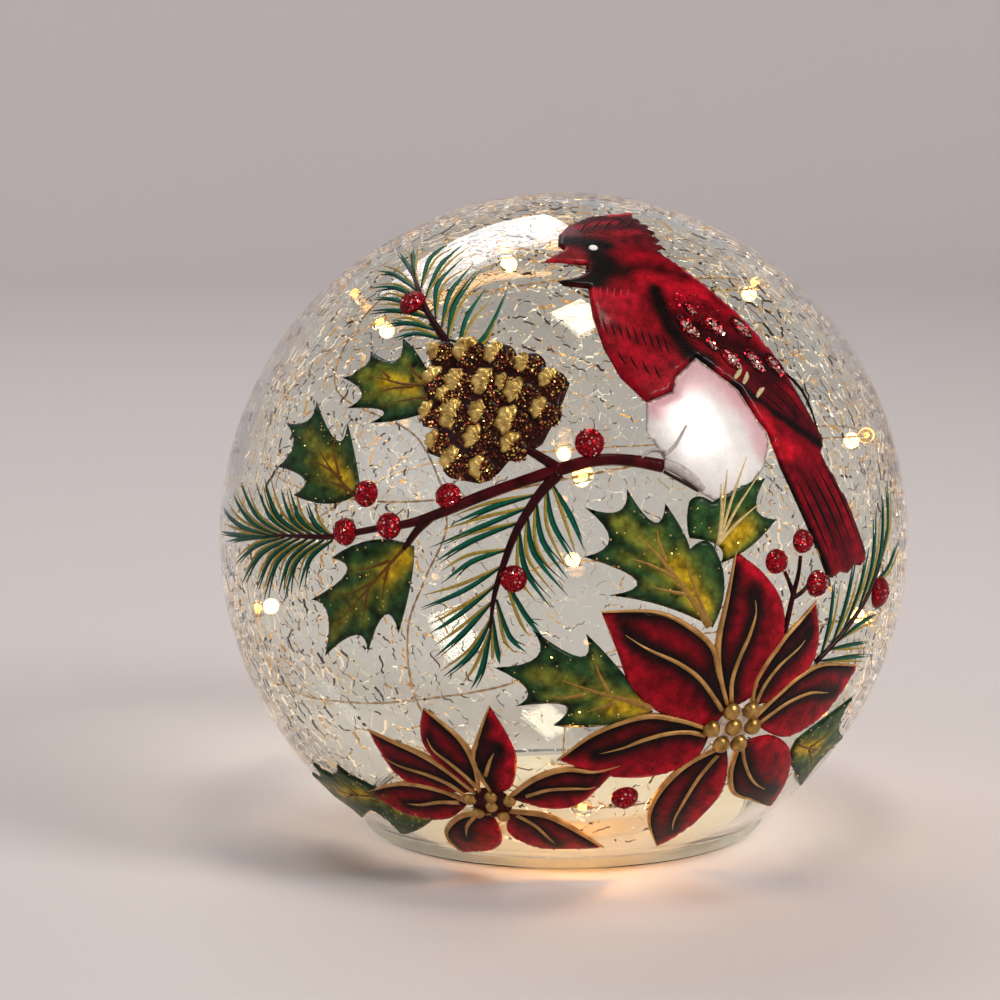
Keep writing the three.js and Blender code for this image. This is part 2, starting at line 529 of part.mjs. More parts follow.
BERRIES.forEach(([u, v, r], i) => {
  const dome = lathe([[0, 0], [r, 0], [r, 0.9], [r * 0.8, 1.9], [r * 0.45, 2.5], [0, HEIGHT.berry]], 10);
  const mesh = add(`berry_${String(i + 1).padStart(2, "0")}`, dome, MATERIAL.red);
  mesh.position.copy(onGlobe(u, v, LOW));
  const outward = onGlobe(u, v, 1).sub(onGlobe(u, v, 0)).normalize();
  mesh.quaternion.setFromUnitVectors(new THREE.Vector3(0, 0, 1), outward);
});
const leaf = (number) => layer(`holly_leaf_${number}`, [LEAVES[number - 1]], HEIGHT.flat, MATERIAL.green);
layer("pinecone", [PINECONE], HEIGHT.pinecone, MATERIAL.gold);
layer("branch", branchOutlines, HEIGHT.branch, MATERIAL.brown);
layer("poinsettia_large", largeOutlines, HEIGHT.flat, MATERIAL.red);
layer("poinsettia_small", smallOutlines, HEIGHT.flat, MATERIAL.red);
leaf(4);
leaf(5);
layer("cardinal", [CARDINAL], HEIGHT.cardinal, MATERIAL.red);
[1, 2, 3, 6, 7, 8].forEach(leaf);

export default group;
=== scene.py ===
"""Lit crackle-glass ball ornament with raised enamel painting, in metres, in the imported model's frame."""
import math
import random

import bmesh
import bpy
from mathutils import Matrix, Vector, noise
from mathutils.geometry import delaunay_2d_cdt
from mathutils.kdtree import KDTree


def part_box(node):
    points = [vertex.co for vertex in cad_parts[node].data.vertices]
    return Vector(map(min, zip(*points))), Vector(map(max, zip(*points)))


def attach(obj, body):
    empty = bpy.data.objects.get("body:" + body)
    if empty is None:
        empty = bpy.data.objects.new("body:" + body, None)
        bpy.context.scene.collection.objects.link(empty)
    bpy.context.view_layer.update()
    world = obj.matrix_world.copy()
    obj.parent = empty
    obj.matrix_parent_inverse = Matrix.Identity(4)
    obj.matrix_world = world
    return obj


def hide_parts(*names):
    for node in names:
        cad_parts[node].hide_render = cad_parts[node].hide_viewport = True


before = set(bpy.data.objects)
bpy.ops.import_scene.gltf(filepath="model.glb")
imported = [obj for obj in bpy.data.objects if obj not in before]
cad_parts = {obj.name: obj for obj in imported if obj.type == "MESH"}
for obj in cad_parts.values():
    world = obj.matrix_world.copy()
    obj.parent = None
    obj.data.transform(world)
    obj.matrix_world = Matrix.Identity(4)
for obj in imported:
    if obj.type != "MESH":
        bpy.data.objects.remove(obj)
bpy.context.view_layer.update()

MM = 0.001
globe_low, globe_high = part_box("glass_globe")
RADIUS = (globe_high.x - globe_low.x) / 2
CENTRE = Vector((0, 0, globe_high.z - RADIUS))
R = RADIUS / MM
CZ = CENTRE.z / MM
WALL = 3.0  # the thickness of the glass; lengths below are in millimetres unless they say metres
ROOT = "ball"

# ---- Camera, in metres ----
TILT = math.radians(11)
CAMERA_DISTANCE = 0.9729
LENS, SENSOR = 135, 36
SHIFT_X, SHIFT_Y = -0.0635, 0.0365
camera_data = bpy.data.cameras.new("camera")
camera_data.lens = LENS
camera_data.sensor_width = SENSOR
camera_data.shift_x = SHIFT_X
camera_data.shift_y = SHIFT_Y
camera = bpy.data.objects.new("camera", camera_data)
camera.location = CENTRE + CAMERA_DISTANCE * Vector((0, -math.cos(TILT), math.sin(TILT)))
camera.rotation_euler = (math.pi / 2 - TILT, 0, 0)
bpy.context.scene.collection.objects.link(camera)
bpy.context.scene.camera = camera


# ---- Colour and materials ----
def ink(code):
    """A linear colour from six hexadecimal sRGB digits."""
    parts = [int(code[i:i + 2], 16) / 255 for i in (0, 2, 4)]
    return tuple(p / 12.92 if p <= 0.04045 else ((p + 0.055) / 1.055) ** 2.4 for p in parts)


def mix(a, b, t):
    return tuple(x + (y - x) * t for x, y in zip(a, b))


def surface(name, colour, **sockets):
    """A material of one Principled shader with its sockets set directly."""
    material = bpy.data.materials.new(name)
    material.use_nodes = True
    shader = material.node_tree.nodes["Principled BSDF"]
    shader.inputs["Base Color"].default_value = (*ink(colour), 1)
    for socket, value in sockets.items():
        shader.inputs[socket.replace("_", " ")].default_value = value
    return material


def texture(material, scale, stretch=(1, 1, 1), **settings):
    """Noise in object space, measured in cycles per metre."""
    nodes, links = material.node_tree.nodes, material.node_tree.links
    where = nodes.new("ShaderNodeTexCoord")
    mapping = nodes.new("ShaderNodeMapping")
    mapping.inputs["Scale"].default_value = stretch
    pattern = nodes.new("ShaderNodeTexNoise")
    pattern.inputs["Scale"].default_value = scale
    for socket, value in settings.items():
        pattern.inputs[socket].default_value = value
    links.new(where.outputs["Object"], mapping.inputs["Vector"])
    links.new(mapping.outputs["Vector"], pattern.inputs["Vector"])
    return pattern


def ramp(material, source, stops):
    """Colour stops spread over a texture's value."""
    node = material.node_tree.nodes.new("ShaderNodeValToRGB")
    elements = node.color_ramp.elements
    while len(elements) < len(stops):
        elements.new(1.0)
    for element, (position, colour) in zip(elements, stops):
        element.position = position
        element.color = (*colour, 1)
    material.node_tree.links.new(source, node.inputs["Fac"])
    return node.outputs["Color"]


def mottled(material, scale, stops, **settings):
    """Drives the colour of a material by noise."""
    pattern = texture(material, scale, **settings)
    shader = material.node_tree.nodes["Principled BSDF"]
    material.node_tree.links.new(ramp(material, pattern.outputs[0], stops), shader.inputs["Base Color"])
    return material


def bumpy(material, scale, distance, stretch=(1, 1, 1), **settings):
    """Fine relief, with its depth in metres."""
    pattern = texture(material, scale, stretch, **settings)
    nodes, links = material.node_tree.nodes, material.node_tree.links
    bump = nodes.new("ShaderNodeBump")
    bump.inputs["Distance"].default_value = distance
    bump.inputs["Strength"].default_value = 1.0
    links.new(pattern.outputs[0], bump.inputs["Height"])
    links.new(bump.outputs["Normal"], nodes["Principled BSDF"].inputs["Normal"])
    return material


def painted(name, uneven, **sockets):
    """Brushed enamel: the colour laid on the mesh, broken up a little by noise."""
    material = surface(name, "ffffff", **sockets)
    nodes, links = material.node_tree.nodes, material.node_tree.links
    paint = nodes.new("ShaderNodeAttribute")
    paint.attribute_name = "paint"
    streaks = texture(material, 900, Detail=6.0, Roughness=0.65)
    shade = ramp(material, streaks.outputs[0], [(0.3, (1 - uneven,) * 3), (0.7, (1 + uneven * 0.7,) * 3)])
    blend = nodes.new("ShaderNodeMix")
    blend.data_type = "RGBA"
    blend.blend_type = "MULTIPLY"
    blend.inputs["Factor"].default_value = 1.0
    links.new(paint.outputs["Color"], blend.inputs["A"])
    links.new(shade, blend.inputs["B"])
    links.new(blend.outputs["Result"], nodes["Principled BSDF"].inputs["Base Color"])
    return bumpy(material, 1400, 0.00012, Detail=4.0)


SHADE = (0.84, 0.83, 0.81, 1)  # what each pass through a clear surface leaves of the light behind it


def clear(name, colour, roughness, ior):
    """Glass that lets light through to what is inside it."""
    material = surface(name, colour, Roughness=roughness, IOR=ior, Transmission_Weight=1.0)
    nodes, links = material.node_tree.nodes, material.node_tree.links
    through = nodes.new("ShaderNodeBsdfTransparent")
    path = nodes.new("ShaderNodeLightPath")
    choose = nodes.new("ShaderNodeMixShader")
    through.inputs["Color"].default_value = SHADE
    links.new(path.outputs["Is Shadow Ray"], choose.inputs["Fac"])
    links.new(nodes["Principled BSDF"].outputs["BSDF"], choose.inputs[1])
    links.new(through.outputs["BSDF"], choose.inputs[2])
    links.new(choose.outputs["Shader"], nodes["Material Output"].inputs["Surface"])
    return material


def glowing(name, colour, strength, **sockets):
    material = surface(name, colour, **sockets)
    shader = material.node_tree.nodes["Principled BSDF"]
    shader.inputs["Emission Color"].default_value = (*ink(colour), 1)
    shader.inputs["Emission Strength"].default_value = strength
    return material


GLOSS = {"Roughness": 0.36, "Coat_Weight": 0.1, "Coat_Roughness": 0.08, "Specular_IOR_Level": 0.06}
GLASS = clear("glass", "f6f8f3", 0.0, 1.46)
RESIN = clear("led_resin", "fff3d8", 0.05, 1.5)
LIT_CORE = glowing("led_core", "ffb04a", 9.0)
# Painted glints: the bright and the gold crack materials glow a little, standing in for the white and warm
# light that real cracks reflect.
PAINTED_GLINT_WHITE = bumpy(glowing("crack_painted_glint_white", "fff4e0", 0.42, Metallic=0.7, Roughness=0.24), 700, 0.0003)
CRACK_DARK = bumpy(surface("crack_dark", "4c3c2a", Metallic=0.5, Roughness=0.35), 700, 0.0003)
PAINTED_GLINT_GOLD = bumpy(glowing("crack_painted_glint_gold", "e8bc78", 0.26, Metallic=0.8, Roughness=0.24), 700, 0.0003)
ENAMEL = painted("enamel", 0.34, **GLOSS)
GOLD_PAINT = bumpy(mottled(
    surface("gold_paint", "b88644", Metallic=0.3, Roughness=0.42),
    260, [(0.35, ink("9c6e34")), (0.65, ink("cc9a58"))], Detail=4.0), 900, 0.0001)
CONE_GOLD = bumpy(mottled(
    surface("cone_gold", "cca655", Metallic=0.7, Roughness=0.34),
    380, [(0.32, ink("8e6a2a")), (0.62, ink("e2c070"))], Detail=5.0), 1300, 0.00018)
BEAD_GOLD = bumpy(mottled(
    surface("bead_gold", "a98346", Metallic=0.8, Roughness=0.34),
    500, [(0.3, ink("8a6630")), (0.7, ink("c49c58"))]), 1200, 0.0001)
RED_GLITTER = surface("red_glitter", "c01828", Metallic=0.9, Roughness=0.22)
PALE_GLITTER = surface("pale_glitter", "f0c8c0", Metallic=0.9, Roughness=0.25)
BRONZE_GLITTER = surface("bronze_glitter", "84402c", Metallic=0.9, Roughness=0.26)
GOLD_GLITTER = surface("gold_glitter", "f0cc70", Metallic=0.95, Roughness=0.22)


# ---- Meshes ----
class Build:
    """Points, faces and paint gathered for one piece."""

    def __init__(self):
        self.points = []
        self.faces = []
        self.paint = []

    def add(self, points, faces, paint=None, colour=(1, 1, 1)):
        """Adds a shape, painted point by point or in one colour."""
        start = len(self.points)
        self.points.extend(points)
        self.faces.extend([i + start for i in face] for face in faces)
        self.paint.extend(paint or [colour] * len(points))
        return self

    def piece(self, name, material, slot, body=ROOT, nodes=(), closed=True, smooth=180):
        mesh = bpy.data.meshes.new(name)
        mesh.from_pydata([tuple(p) for p in self.points], [], self.faces)
        layer = mesh.color_attributes.new("paint", "FLOAT_COLOR", "POINT")
        layer.data.foreach_set("color", [c for colour in self.paint for c in (*colour, 1)])
        if closed:
            cleaned = bmesh.new()
            cleaned.from_mesh(mesh)
            bmesh.ops.recalc_face_normals(cleaned, faces=cleaned.faces)
            cleaned.to_mesh(mesh)
            cleaned.free()
        mesh.shade_smooth()
        if smooth < 180:
            mesh.set_sharp_from_angle(angle=math.radians(smooth))
        made = bpy.data.objects.new(name, mesh)
        made.data.materials.append(material)
        bpy.context.scene.collection.objects.link(made)
        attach(made, body)
        if nodes:
            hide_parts(*nodes)
        return made

    def facets(self, name, material, slot):
        """A piece of separate flat facets, such as glitter."""
        return self.piece(name, material, slot, closed=False, smooth=10)


def turned(profile, steps, at=(0, 0, 0), spin=None, waves=None):
    """A profile of (radius, height) in millimetres, turned about the Z axis."""
    points, rings = [], []
    for r, z in profile:
        count = 1 if r == 0 else steps
        rings.append([len(points) + i for i in range(count)])
        for i in range(count):
            angle = 2 * math.pi * i / steps
            points.append(Vector((r * math.cos(angle), r * math.sin(angle), z)) * MM)
    faces = []
    for low, high in zip(rings, rings[1:]):
        for i in range(steps):
            ahead = i + 1
            quad = [low[i % len(low)], low[ahead % len(low)], high[ahead % len(high)], high[i % len(high)]]
            face = list(dict.fromkeys(quad))
            if len(face) > 2:
                faces.append(face)
    if waves:
        points = [waves(p) for p in points]
    if spin:
        points = [spin @ p for p in points]
    return [p + Vector(at) for p in points], faces


def arc(cx, cz, r, start, end, steps):
    """Points on a circle by angle from +r towards +z, in degrees."""
    angles = [math.radians(start + (end - start) * i / steps) for i in range(steps + 1)]
    return [(cx + r * math.cos(a), cz + r * math.sin(a)) for a in angles]


def inside(outline, u, v):
    crossing = False
    for (u0, v0), (u1, v1) in zip(outline, outline[1:] + outline[:1]):
        if (v0 > v) != (v1 > v) and u < (u1 - u0) * (v - v0) / (v1 - v0) + u0:
            crossing = not crossing
    return crossing


def plate(outer, holes, low, high):
    """A flat slab in millimetres with holes through it."""
    loops = [outer, *holes]
    flat = [Vector(p) for loop in loops for p in loop]
    edges, start = [], 0
    for loop in loops:
        edges += [(start + i, start + (i + 1) % len(loop)) for i in range(len(loop))]
        start += len(loop)
    verts, _, tris, *_ = delaunay_2d_cdt(flat, edges, [], 1, 1e-6)
    kept = []
    for tri in tris:
        u, v = (sum(verts[i][k] for i in tri) / 3 for k in (0, 1))
        if inside(outer, u, v) and not any(inside(hole, u, v) for hole in holes):
            kept.append(list(tri))
    count = len(verts)
    points = [Vector((v.x, v.y, z)) * MM for z in (low, high) for v in verts]
    faces = kept + [[i + count for i in tri] for tri in kept]
    near = {(round(v.x, 4), round(v.y, 4)): i for i, v in enumerate(verts)}
    for loop in loops:
        ring = [near[(round(u, 4), round(v, 4))] for u, v in loop]
        faces += [[a, b, b + count, a + count] for a, b in zip(ring, ring[1:] + ring[:1])]
    return points, faces


def ring_of(r, steps, x=0.0, y=0.0):
    return [(x + r * math.cos(2 * math.pi * i / steps), y + r * math.sin(2 * math.pi * i / steps))
            for i in range(steps)]


def rectangle(width, depth, x, y, corner=0.8):
    points = []
    for sx, sy, start in ((1, 1, 0), (-1, 1, 90), (-1, -1, 180), (1, -1, 270)):
        middle = (x + sx * (width / 2 - corner), y + sy * (depth / 2 - corner))
        points += arc(*middle, corner, start, start + 90, 4)
    return points


def tube(path, r, sides):
    """A closed round tube along points in metres, with a frame carried along without twist."""
    points, faces = [], []
    ahead = (path[1] - path[0]).normalized()
    side = ahead.orthogonal().normalized()
    for i, p in enumerate(path):
        ahead = (path[min(i + 1, len(path) - 1)] - path[max(i - 1, 0)]).normalized()
        side = (side - ahead * side.dot(ahead)).normalized()
        up = ahead.cross(side)
        for k in range(sides):
            angle = 2 * math.pi * k / sides
            points.append(p + (side * math.cos(angle) + up * math.sin(angle)) * r)
    for i in range(len(path) - 1):
        for k in range(sides):
            a, b = i * sides + k, i * sides + (k + 1) % sides
            faces.append([a, b, b + sides, a + sides])
    faces.append(list(range(sides)))
    faces.append(list(range((len(path) - 1) * sides, len(path) * sides)))
    return points, faces


# ---- Globe ----
RIM_IN, RIM_OUT, RIM_Z = 49.6, 51.6, 0.9
FOOT_TOP = 4.0  # the round of the ball begins here, above the fire-polished rim
GLOBE_STEPS = 224
WAVE_DEPTH = 0.22


def globe_profile(outer_steps, inner_steps):
    """The outline of the glass from the top of its inside, round the rim, to the top of its outside."""
    start = -math.degrees(math.asin((CZ - FOOT_TOP) / R))
    inner = R - WALL
    end = -math.degrees(math.acos(RIM_IN / inner))
    foot = [(RIM_IN, RIM_Z + 0.5), (RIM_IN + 0.4, RIM_Z), (RIM_OUT, RIM_Z), (RIM_OUT + 1, 2.2)]
    outline = [*arc(0, CZ, inner, 90, end, inner_steps), *foot, *arc(0, CZ, R, start, 90, outer_steps)]
    return [(0 if x < 1e-6 else x, z) for x, z in outline]


def wavy(p):
    """Blown glass is never quite true."""
    out = p - CENTRE
    return p + out.normalized() * noise.noise(out * 42) * WAVE_DEPTH * MM


globe = Build().add(*turned(globe_profile(110, 104), GLOBE_STEPS, waves=wavy))
globe.piece("globe_glass", GLASS, "clear_glass", nodes=["glass_globe"], smooth=35)


JITTER = 0.55  # how far a cell's middle strays, as a share of the cells' spacing
CLEAR_SKIN = 0.45  # the cracks end about this far under the outside of the glass, or deeper
CRACK_STEP = 0.9
FRONT = Vector((0.05, -0.98, 0.1))
KINDS = ["bright", "dark", "gold"]


def cell_borders(rng, count):
    """The two ends of every border between jittered cells spread evenly over a sphere."""
    golden = math.pi * (3 - math.sqrt(5))
    spread = math.sqrt(4 * math.pi / count)
    cells = bmesh.new()
    for i in range(count):
        z = 1 - 2 * (i + 0.5) / count
        flat = math.sqrt(1 - z * z)
        p = Vector((flat * math.cos(golden * i), flat * math.sin(golden * i), z))
        p += Vector([rng.uniform(-1, 1) * spread * JITTER for _ in range(3)])
        cells.verts.new(p.normalized())
    bmesh.ops.convex_hull(cells, input=cells.verts[:])
    cells.faces.ensure_lookup_table()
    borders = []
    for edge in cells.edges:
        if len(edge.link_faces) != 2:
            continue
        a, b = (face.normal.copy() for face in edge.link_faces)
        if a.dot(edge.verts[0].co) < 0:
            a, b = -a, -b
        borders.append((a, b))
    cells.free()
    return borders


def kept_share(out):
    """How many of the cracks show in one direction: fewer behind the painting and towards the foot."""
    keep = 0.55 + 0.9 * noise.noise(out * 2.3) + 0.35 * noise.noise(out * 7)
    keep -= 0.4 * max(0.0, max(0.0, out.dot(FRONT)) - 0.72) / 0.28
    keep -= max(0.0, (22 - (out.z * R + CZ)) / 16)
    return keep + 0.2


def crack_rail(rng, a, b):
    """Points along one crack, in pairs: its inner and its outer edge."""
    across = (b - a).cross((a + b).normalized()).normalized()
    lean = math.tan(math.radians(rng.choice((-1, 1)) * rng.uniform(3, 14)))
    low = R - rng.uniform(1.3, WALL - 0.4)
    high = min(low + rng.uniform(0.5, 1.4), R - CLEAR_SKIN)
    steps = max(3, round((b - a).length * R / CRACK_STEP))
    rail = []
    for k in range(steps + 1):
        bend = rng.uniform(-0.45, 0.45) / R if 0 < k < steps else 0.0
        base = (a.lerp(b, k / steps) + across * bend).normalized()
        lift = rng.uniform(-0.15, 0.15)
        rail.append([CENTRE + (base * (depth + lift) + across * lean * (depth - (low + high) / 2)) * MM
                     for depth in (low, high)])
    return rail


def crackle(seed, count):
    """Fracture lines inside the glass, as ribbons across its wall."""
    rng = random.Random(seed)
    kinds = {kind: Build() for kind in KINDS}
    for a, b in cell_borders(rng, count):
        if rng.random() > kept_share((a + b).normalized()):
            continue
        rail = crack_rail(rng, a, b)
        kind = rng.choices(KINDS, [4, 5, 4])[0]
        for (p, q), (p_next, q_next) in zip(rail, rail[1:]):
            if rng.random() < 0.35:
                kind = rng.choices(KINDS, [5, 4, 4])[0]
            if rng.random() > 0.1:
                kinds[kind].add([p, q, q_next, p_next], [[0, 1, 2, 3]])
    return kinds


def flecks(seed, count, size, depth, keep):
    """Small facets scattered in the thickness of the glass."""
    rng = random.Random(seed)
    made = Build()
    while len(made.points) < 3 * count:
        out = Vector([rng.gauss(0, 1) for _ in range(3)]).normalized()
        if out.z * R + CZ < 12 or rng.random() > keep(out):
            continue
        middle = CENTRE + out * (R - rng.uniform(*depth)) * MM
        made.add(*flake(rng, middle, out, rng.uniform(0.5, 1.0) * size, 80, 3))
    return made


def flake(rng, middle, out, size, tilt, sides):
    """One flat facet, its face turned away from out by up to tilt degrees."""
    lean = out.orthogonal().normalized()
    lean.rotate(Matrix.Rotation(rng.uniform(0, 2 * math.pi), 3, out))
    normal = out.copy()
    normal.rotate(Matrix.Rotation(math.radians(rng.uniform(-tilt, tilt)), 3, lean))
    a = normal.orthogonal().normalized()
    b = normal.cross(a)
    start = rng.uniform(0, 2 * math.pi)
    angles = [start + 2 * math.pi * k / sides for k in range(sides)]
    points = [middle + (a * math.cos(t) + b * math.sin(t)) * size * MM for t in angles]
    return points, [list(range(sides))]


# The bright and gold cracks and the flecks glow a little: painted glints, not lit by any lamp.
cracks = crackle(11, 5600)
for kind, material in zip(KINDS, (PAINTED_GLINT_WHITE, CRACK_DARK, PAINTED_GLINT_GOLD)):
    cracks[kind].piece("crackle_" + kind, material, "clear_glass", closed=False)
painted_glint_flecks = flecks(5, 8000, 0.3, (0.5, 2.6), lambda out: 0.2 + 0.8 * max(0.0, noise.noise(out * 5) + 0.35))
painted_glint_flecks.facets("crackle_flecks", PAINTED_GLINT_WHITE, "clear_glass")


# ---- String of lights ----
# The route by bearing (0 is the front, 90 is +X), height angle and distance from the globe's centre.
# A fourth value marks a lamp.
LIT = True
ROUTE = [
    (170, -36, 78), (148, -29, 82), (118, -22, 83), (84, -14, 83, LIT), (52, -8, 83), (24, -12, 83),
    (-1, -10.8, 83, LIT), (-10.4, -14.4, 83.2), (-24.6, -17.8, 83.2), (-39.7, -20.6, 83), (-66, -22, 83),
    (-92, -14, 83, LIT), (-120, -4, 82), (-150, 4, 83), (180, 6, 83, LIT), (148, 10, 82), (114, 17, 83),
    (79.3, 20.3, 83, LIT), (44, 24, 83), (22, 23.4, 83), (3.3, 20.9, 83, LIT), (-14, 17.6, 82.6),
    (-33.5, 15, 83), (-62, 16, 83), (-96, 26, 82), (-130, 38, 83, LIT), (-170, 46, 82),
    (140, 50, 83), (100, 52, 83, LIT), (60, 54, 82), (16, 60, 83), (-27, 68, 83, LIT), (-62, 52, 82),
    (-56, 34, 81), (-28, 26, 80.6), (-20.3, 12.6, 81.4), (-23.6, 3, 82), (-27, -6, 82),
    (-26.6, -21.5, 81.4), (-14, -34, 82), (4.1, -41.7, 82.4, LIT), (36, -40, 82), (80, -38, 82),
    (116, -36, 81, LIT), (146, -22, 79.4), (178, -16, 80, LIT), (-150, -26, 80),
]
LEAD_OUT = [(0, 24, 5.8), (0, 24, 8.6), (0, 24, 12), (1, 28, 21), (3, 42, 27)]


def in_globe(bearing, height, distance):
    b, h = math.radians(bearing), math.radians(height)
    across = distance * math.cos(h)
    return Vector((across * math.sin(b), -across * math.cos(b), CZ + distance * math.sin(h)))


STATIONS = [Vector(p) for p in LEAD_OUT] + [in_globe(*place[:3]) for place in ROUTE]


def along_wire(span, t):
    """A point of the centripetal curve through the stations, t of the way along one span."""
    ends = [2 * STATIONS[0] - STATIONS[1], *STATIONS, 2 * STATIONS[-1] - STATIONS[-2]]
    p0, p1, p2, p3 = ends[span:span + 4]
    d0, d1, d2 = (math.sqrt((b - a).length) for a, b in ((p0, p1), (p1, p2), (p2, p3)))
    m1 = ((p1 - p0) / d0 - (p2 - p0) / (d0 + d1) + (p2 - p1) / d1) * d1
    m2 = ((p2 - p1) / d1 - (p3 - p1) / (d1 + d2) + (p3 - p2) / d2) * d1
    square, cube = t * t, t * t * t
    return (p1 * (2 * cube - 3 * square + 1) + m1 * (cube - 2 * square + t)
            + p2 * (3 * square - 2 * cube) + m2 * (cube - square))


WIRE_STEP = 1.2
wire_line = []
for span in range(len(STATIONS) - 1):
    steps = max(4, round((STATIONS[span + 1] - STATIONS[span]).length / WIRE_STEP))
    wire_line += [along_wire(span, k / steps) for k in range(steps)]
wire_line.append(STATIONS[-1])

STRAND_R = 0.18
STRAND_GAP = 0.02  # each strand is this much thinner than its place in the twist
TWIST_LENGTH = 6.0
COPPER = bumpy(mottled(
    surface("copper_wire", "d0a878", Metallic=0.9, Roughness=0.3, Coat_Weight=0.4),
    300, [(0.35, ink("b08654")), (0.65, ink("e6c89c"))]), 1500, 0.00004)
strands = Build()
for phase in (0.0, math.pi):
    path, travelled = [], 0.0
    side = Vector((1, 0, 0))
    for i, p in enumerate(wire_line):
        travelled += (p - wire_line[max(i - 1, 0)]).length
        ahead = (wire_line[min(i + 1, len(wire_line) - 1)] - wire_line[max(i - 1, 0)]).normalized()
        side = (side - ahead * side.dot(ahead)).normalized()
        turn = phase + 2 * math.pi * travelled / TWIST_LENGTH
        path.append((p + (side * math.cos(turn) + ahead.cross(side) * math.sin(turn)) * STRAND_R) * MM)
    strands.add(*tube(path, (STRAND_R - STRAND_GAP) * MM, 6))
strands.piece("light_wire_strands", COPPER, "copper_wire", nodes=["light_wire"])

DROP = [(0, -2.5), *arc(0.7, -1.3, 1.2, -80, 0, 5), *arc(0.7, 1.3, 1.2, 0, 80, 5), (0, 2.5)]
CORE = [(0, -1.0), *arc(0.15, -0.6, 0.4, -80, 0, 3), *arc(0.15, 0.6, 0.4, 0, 80, 3), (0, 1.0)]
BULB_RADIUS = 2
LAMP_POWER = 0.0014
FOOT_LAMP_POWER = 0.034  # the one lamp that lies low at the front lights the foot and the floor
FOOT_LAMP_BELOW = 30
lit_stations = [len(LEAD_OUT) + i for i, place in enumerate(ROUTE) if LIT in place[3:]]
for lamp_number, station in enumerate(lit_stations, 1):
    at = STATIONS[station] * MM
    ahead = along_wire(min(station, len(STATIONS) - 2), 0.02) - along_wire(station - 1, 0.98)
    spin = ahead.to_track_quat("Z", "Y").to_matrix()
    tag = f"{lamp_number:02d}"
    drop = Build().add(*turned(DROP, 20, at, spin))
    drop.piece("led_drop_" + tag, RESIN, "led_resin", nodes=["led_" + tag])
    Build().add(*turned(CORE, 12, at, spin)).piece("led_core_" + tag, LIT_CORE, "led_resin")
    bulb = bpy.data.lights.new("led_light_" + tag, "POINT")
    bulb.color = ink("ffb860")
    bulb.energy = FOOT_LAMP_POWER if at.z < FOOT_LAMP_BELOW * MM and at.y < 0 else LAMP_POWER
    bulb.shadow_soft_size = BULB_RADIUS * MM
    bulb_object = bpy.data.objects.new("led_light_" + tag, bulb)
    bulb_object.location = at + (CENTRE - at).normalized() * 4 * MM
    bpy.context.scene.collection.objects.link(bulb_object)


# ---- Painting on the glass ----
# The painting is laid out on a chart of the globe's front, in millimetres: u to the right, v up,
# measured along the glass from a point TILT above the equator.
CHART_OUT = Vector((0, -math.cos(TILT), math.sin(TILT)))
CHART_UP = Vector((0, math.sin(TILT), math.cos(TILT)))
FILM = 0.03  # the lowest enamel stands this far off the glass


def on_globe(u, v, height):
    turn = math.hypot(u, v) / R
    spread = 1 / R if turn < 1e-9 else math.sin(turn) / turn / R
    out = CHART_OUT * math.cos(turn) + Vector((u * spread, 0, 0)) + CHART_UP * v * spread
    return CENTRE + out * (R + height) * MM


def curve(points, steps):
    """A smooth line through points; every number of each point is carried along."""
    last = len(points) - 1
    made = []
    for i in range(last):
        four = [points[max(0, min(last, i + k))] for k in (-1, 0, 1, 2)]
        for k in range(steps):
            t = k / steps
            made.append(tuple(
                0.5 * (2 * b + (c - a) * t + (2 * a - 5 * b + 4 * c - d) * t * t
                       + (3 * b - a - 3 * c + d) * t ** 3)
                for a, b, c, d in zip(*four)))
    made.append(tuple(points[-1]))
    return made


def spaced(outline, step):
    """The same closed outline with no two neighbours further apart than step."""
    made = []
    for (u0, v0), (u1, v1) in zip(outline, outline[1:] + outline[:1]):
        parts = max(1, math.ceil(math.hypot(u1 - u0, v1 - v0) / step))
        made += [(u0 + (u1 - u0) * k / parts, v0 + (v1 - v0) * k / parts) for k in range(parts)]
    return made


def away(line, u, v):
    """Distance from a line of points."""
    best = 1e9
    for (u0, v0), (u1, v1) in zip(line, line[1:]):
        du, dv = u1 - u0, v1 - v0
        t = max(0.0, min(1.0, ((u - u0) * du + (v - v0) * dv) / (du * du + dv * dv + 1e-12)))
        best = min(best, (u - u0 - t * du) ** 2 + (v - v0 - t * dv) ** 2)
    return math.sqrt(best)


def filled(outline, step, low, high, edge, colour):
    """A pool of enamel: thin at its outline, rounding up to its full height over the width of edge."""
    border = spaced(outline, step)
    tree = KDTree(len(border))
    for i, (u, v) in enumerate(border):
        tree.insert((u, v, 0), i)
    tree.balance()
    us, vs = [u for u, _ in border], [v for _, v in border]
    points = [Vector(p) for p in border]
    rows = int((max(vs) - min(vs)) / (step * 0.87)) + 1
    for j in range(rows):
        v = min(vs) + (j + 0.5) * step * 0.87
        u = min(us) + (0.5 * step if j % 2 else 0.0)
        while u < max(us):
            if inside(border, u, v) and tree.find((u, v, 0))[2] > step * 0.5:
                points.append(Vector((u, v)))
            u += step
    rim = len(border)
    edges = [(i, (i + 1) % rim) for i in range(rim)]
    verts, _, tris, *_ = delaunay_2d_cdt(points, edges, [], 1, 1e-7)
    top, paint, lower = [], [], {}
    for i, p in enumerate(verts):
        d = tree.find((p.x, p.y, 0))[2]
        t = min(1.0, d / edge)
        top.append(on_globe(p.x, p.y, low + (high - low) * math.sqrt(1 - (1 - t) ** 2)))
        paint.append(colour(p.x, p.y))
        if d > 1e-6:
            lower[i] = len(verts) + len(lower)
    bottom = [on_globe(verts[i].x, verts[i].y, low) for i in lower]
    faces = [list(tri) for tri in tris]
    faces += [[lower.get(i, i) for i in reversed(tri)] for tri in tris]
    return top + bottom, faces, paint + [paint[i] for i in lower]


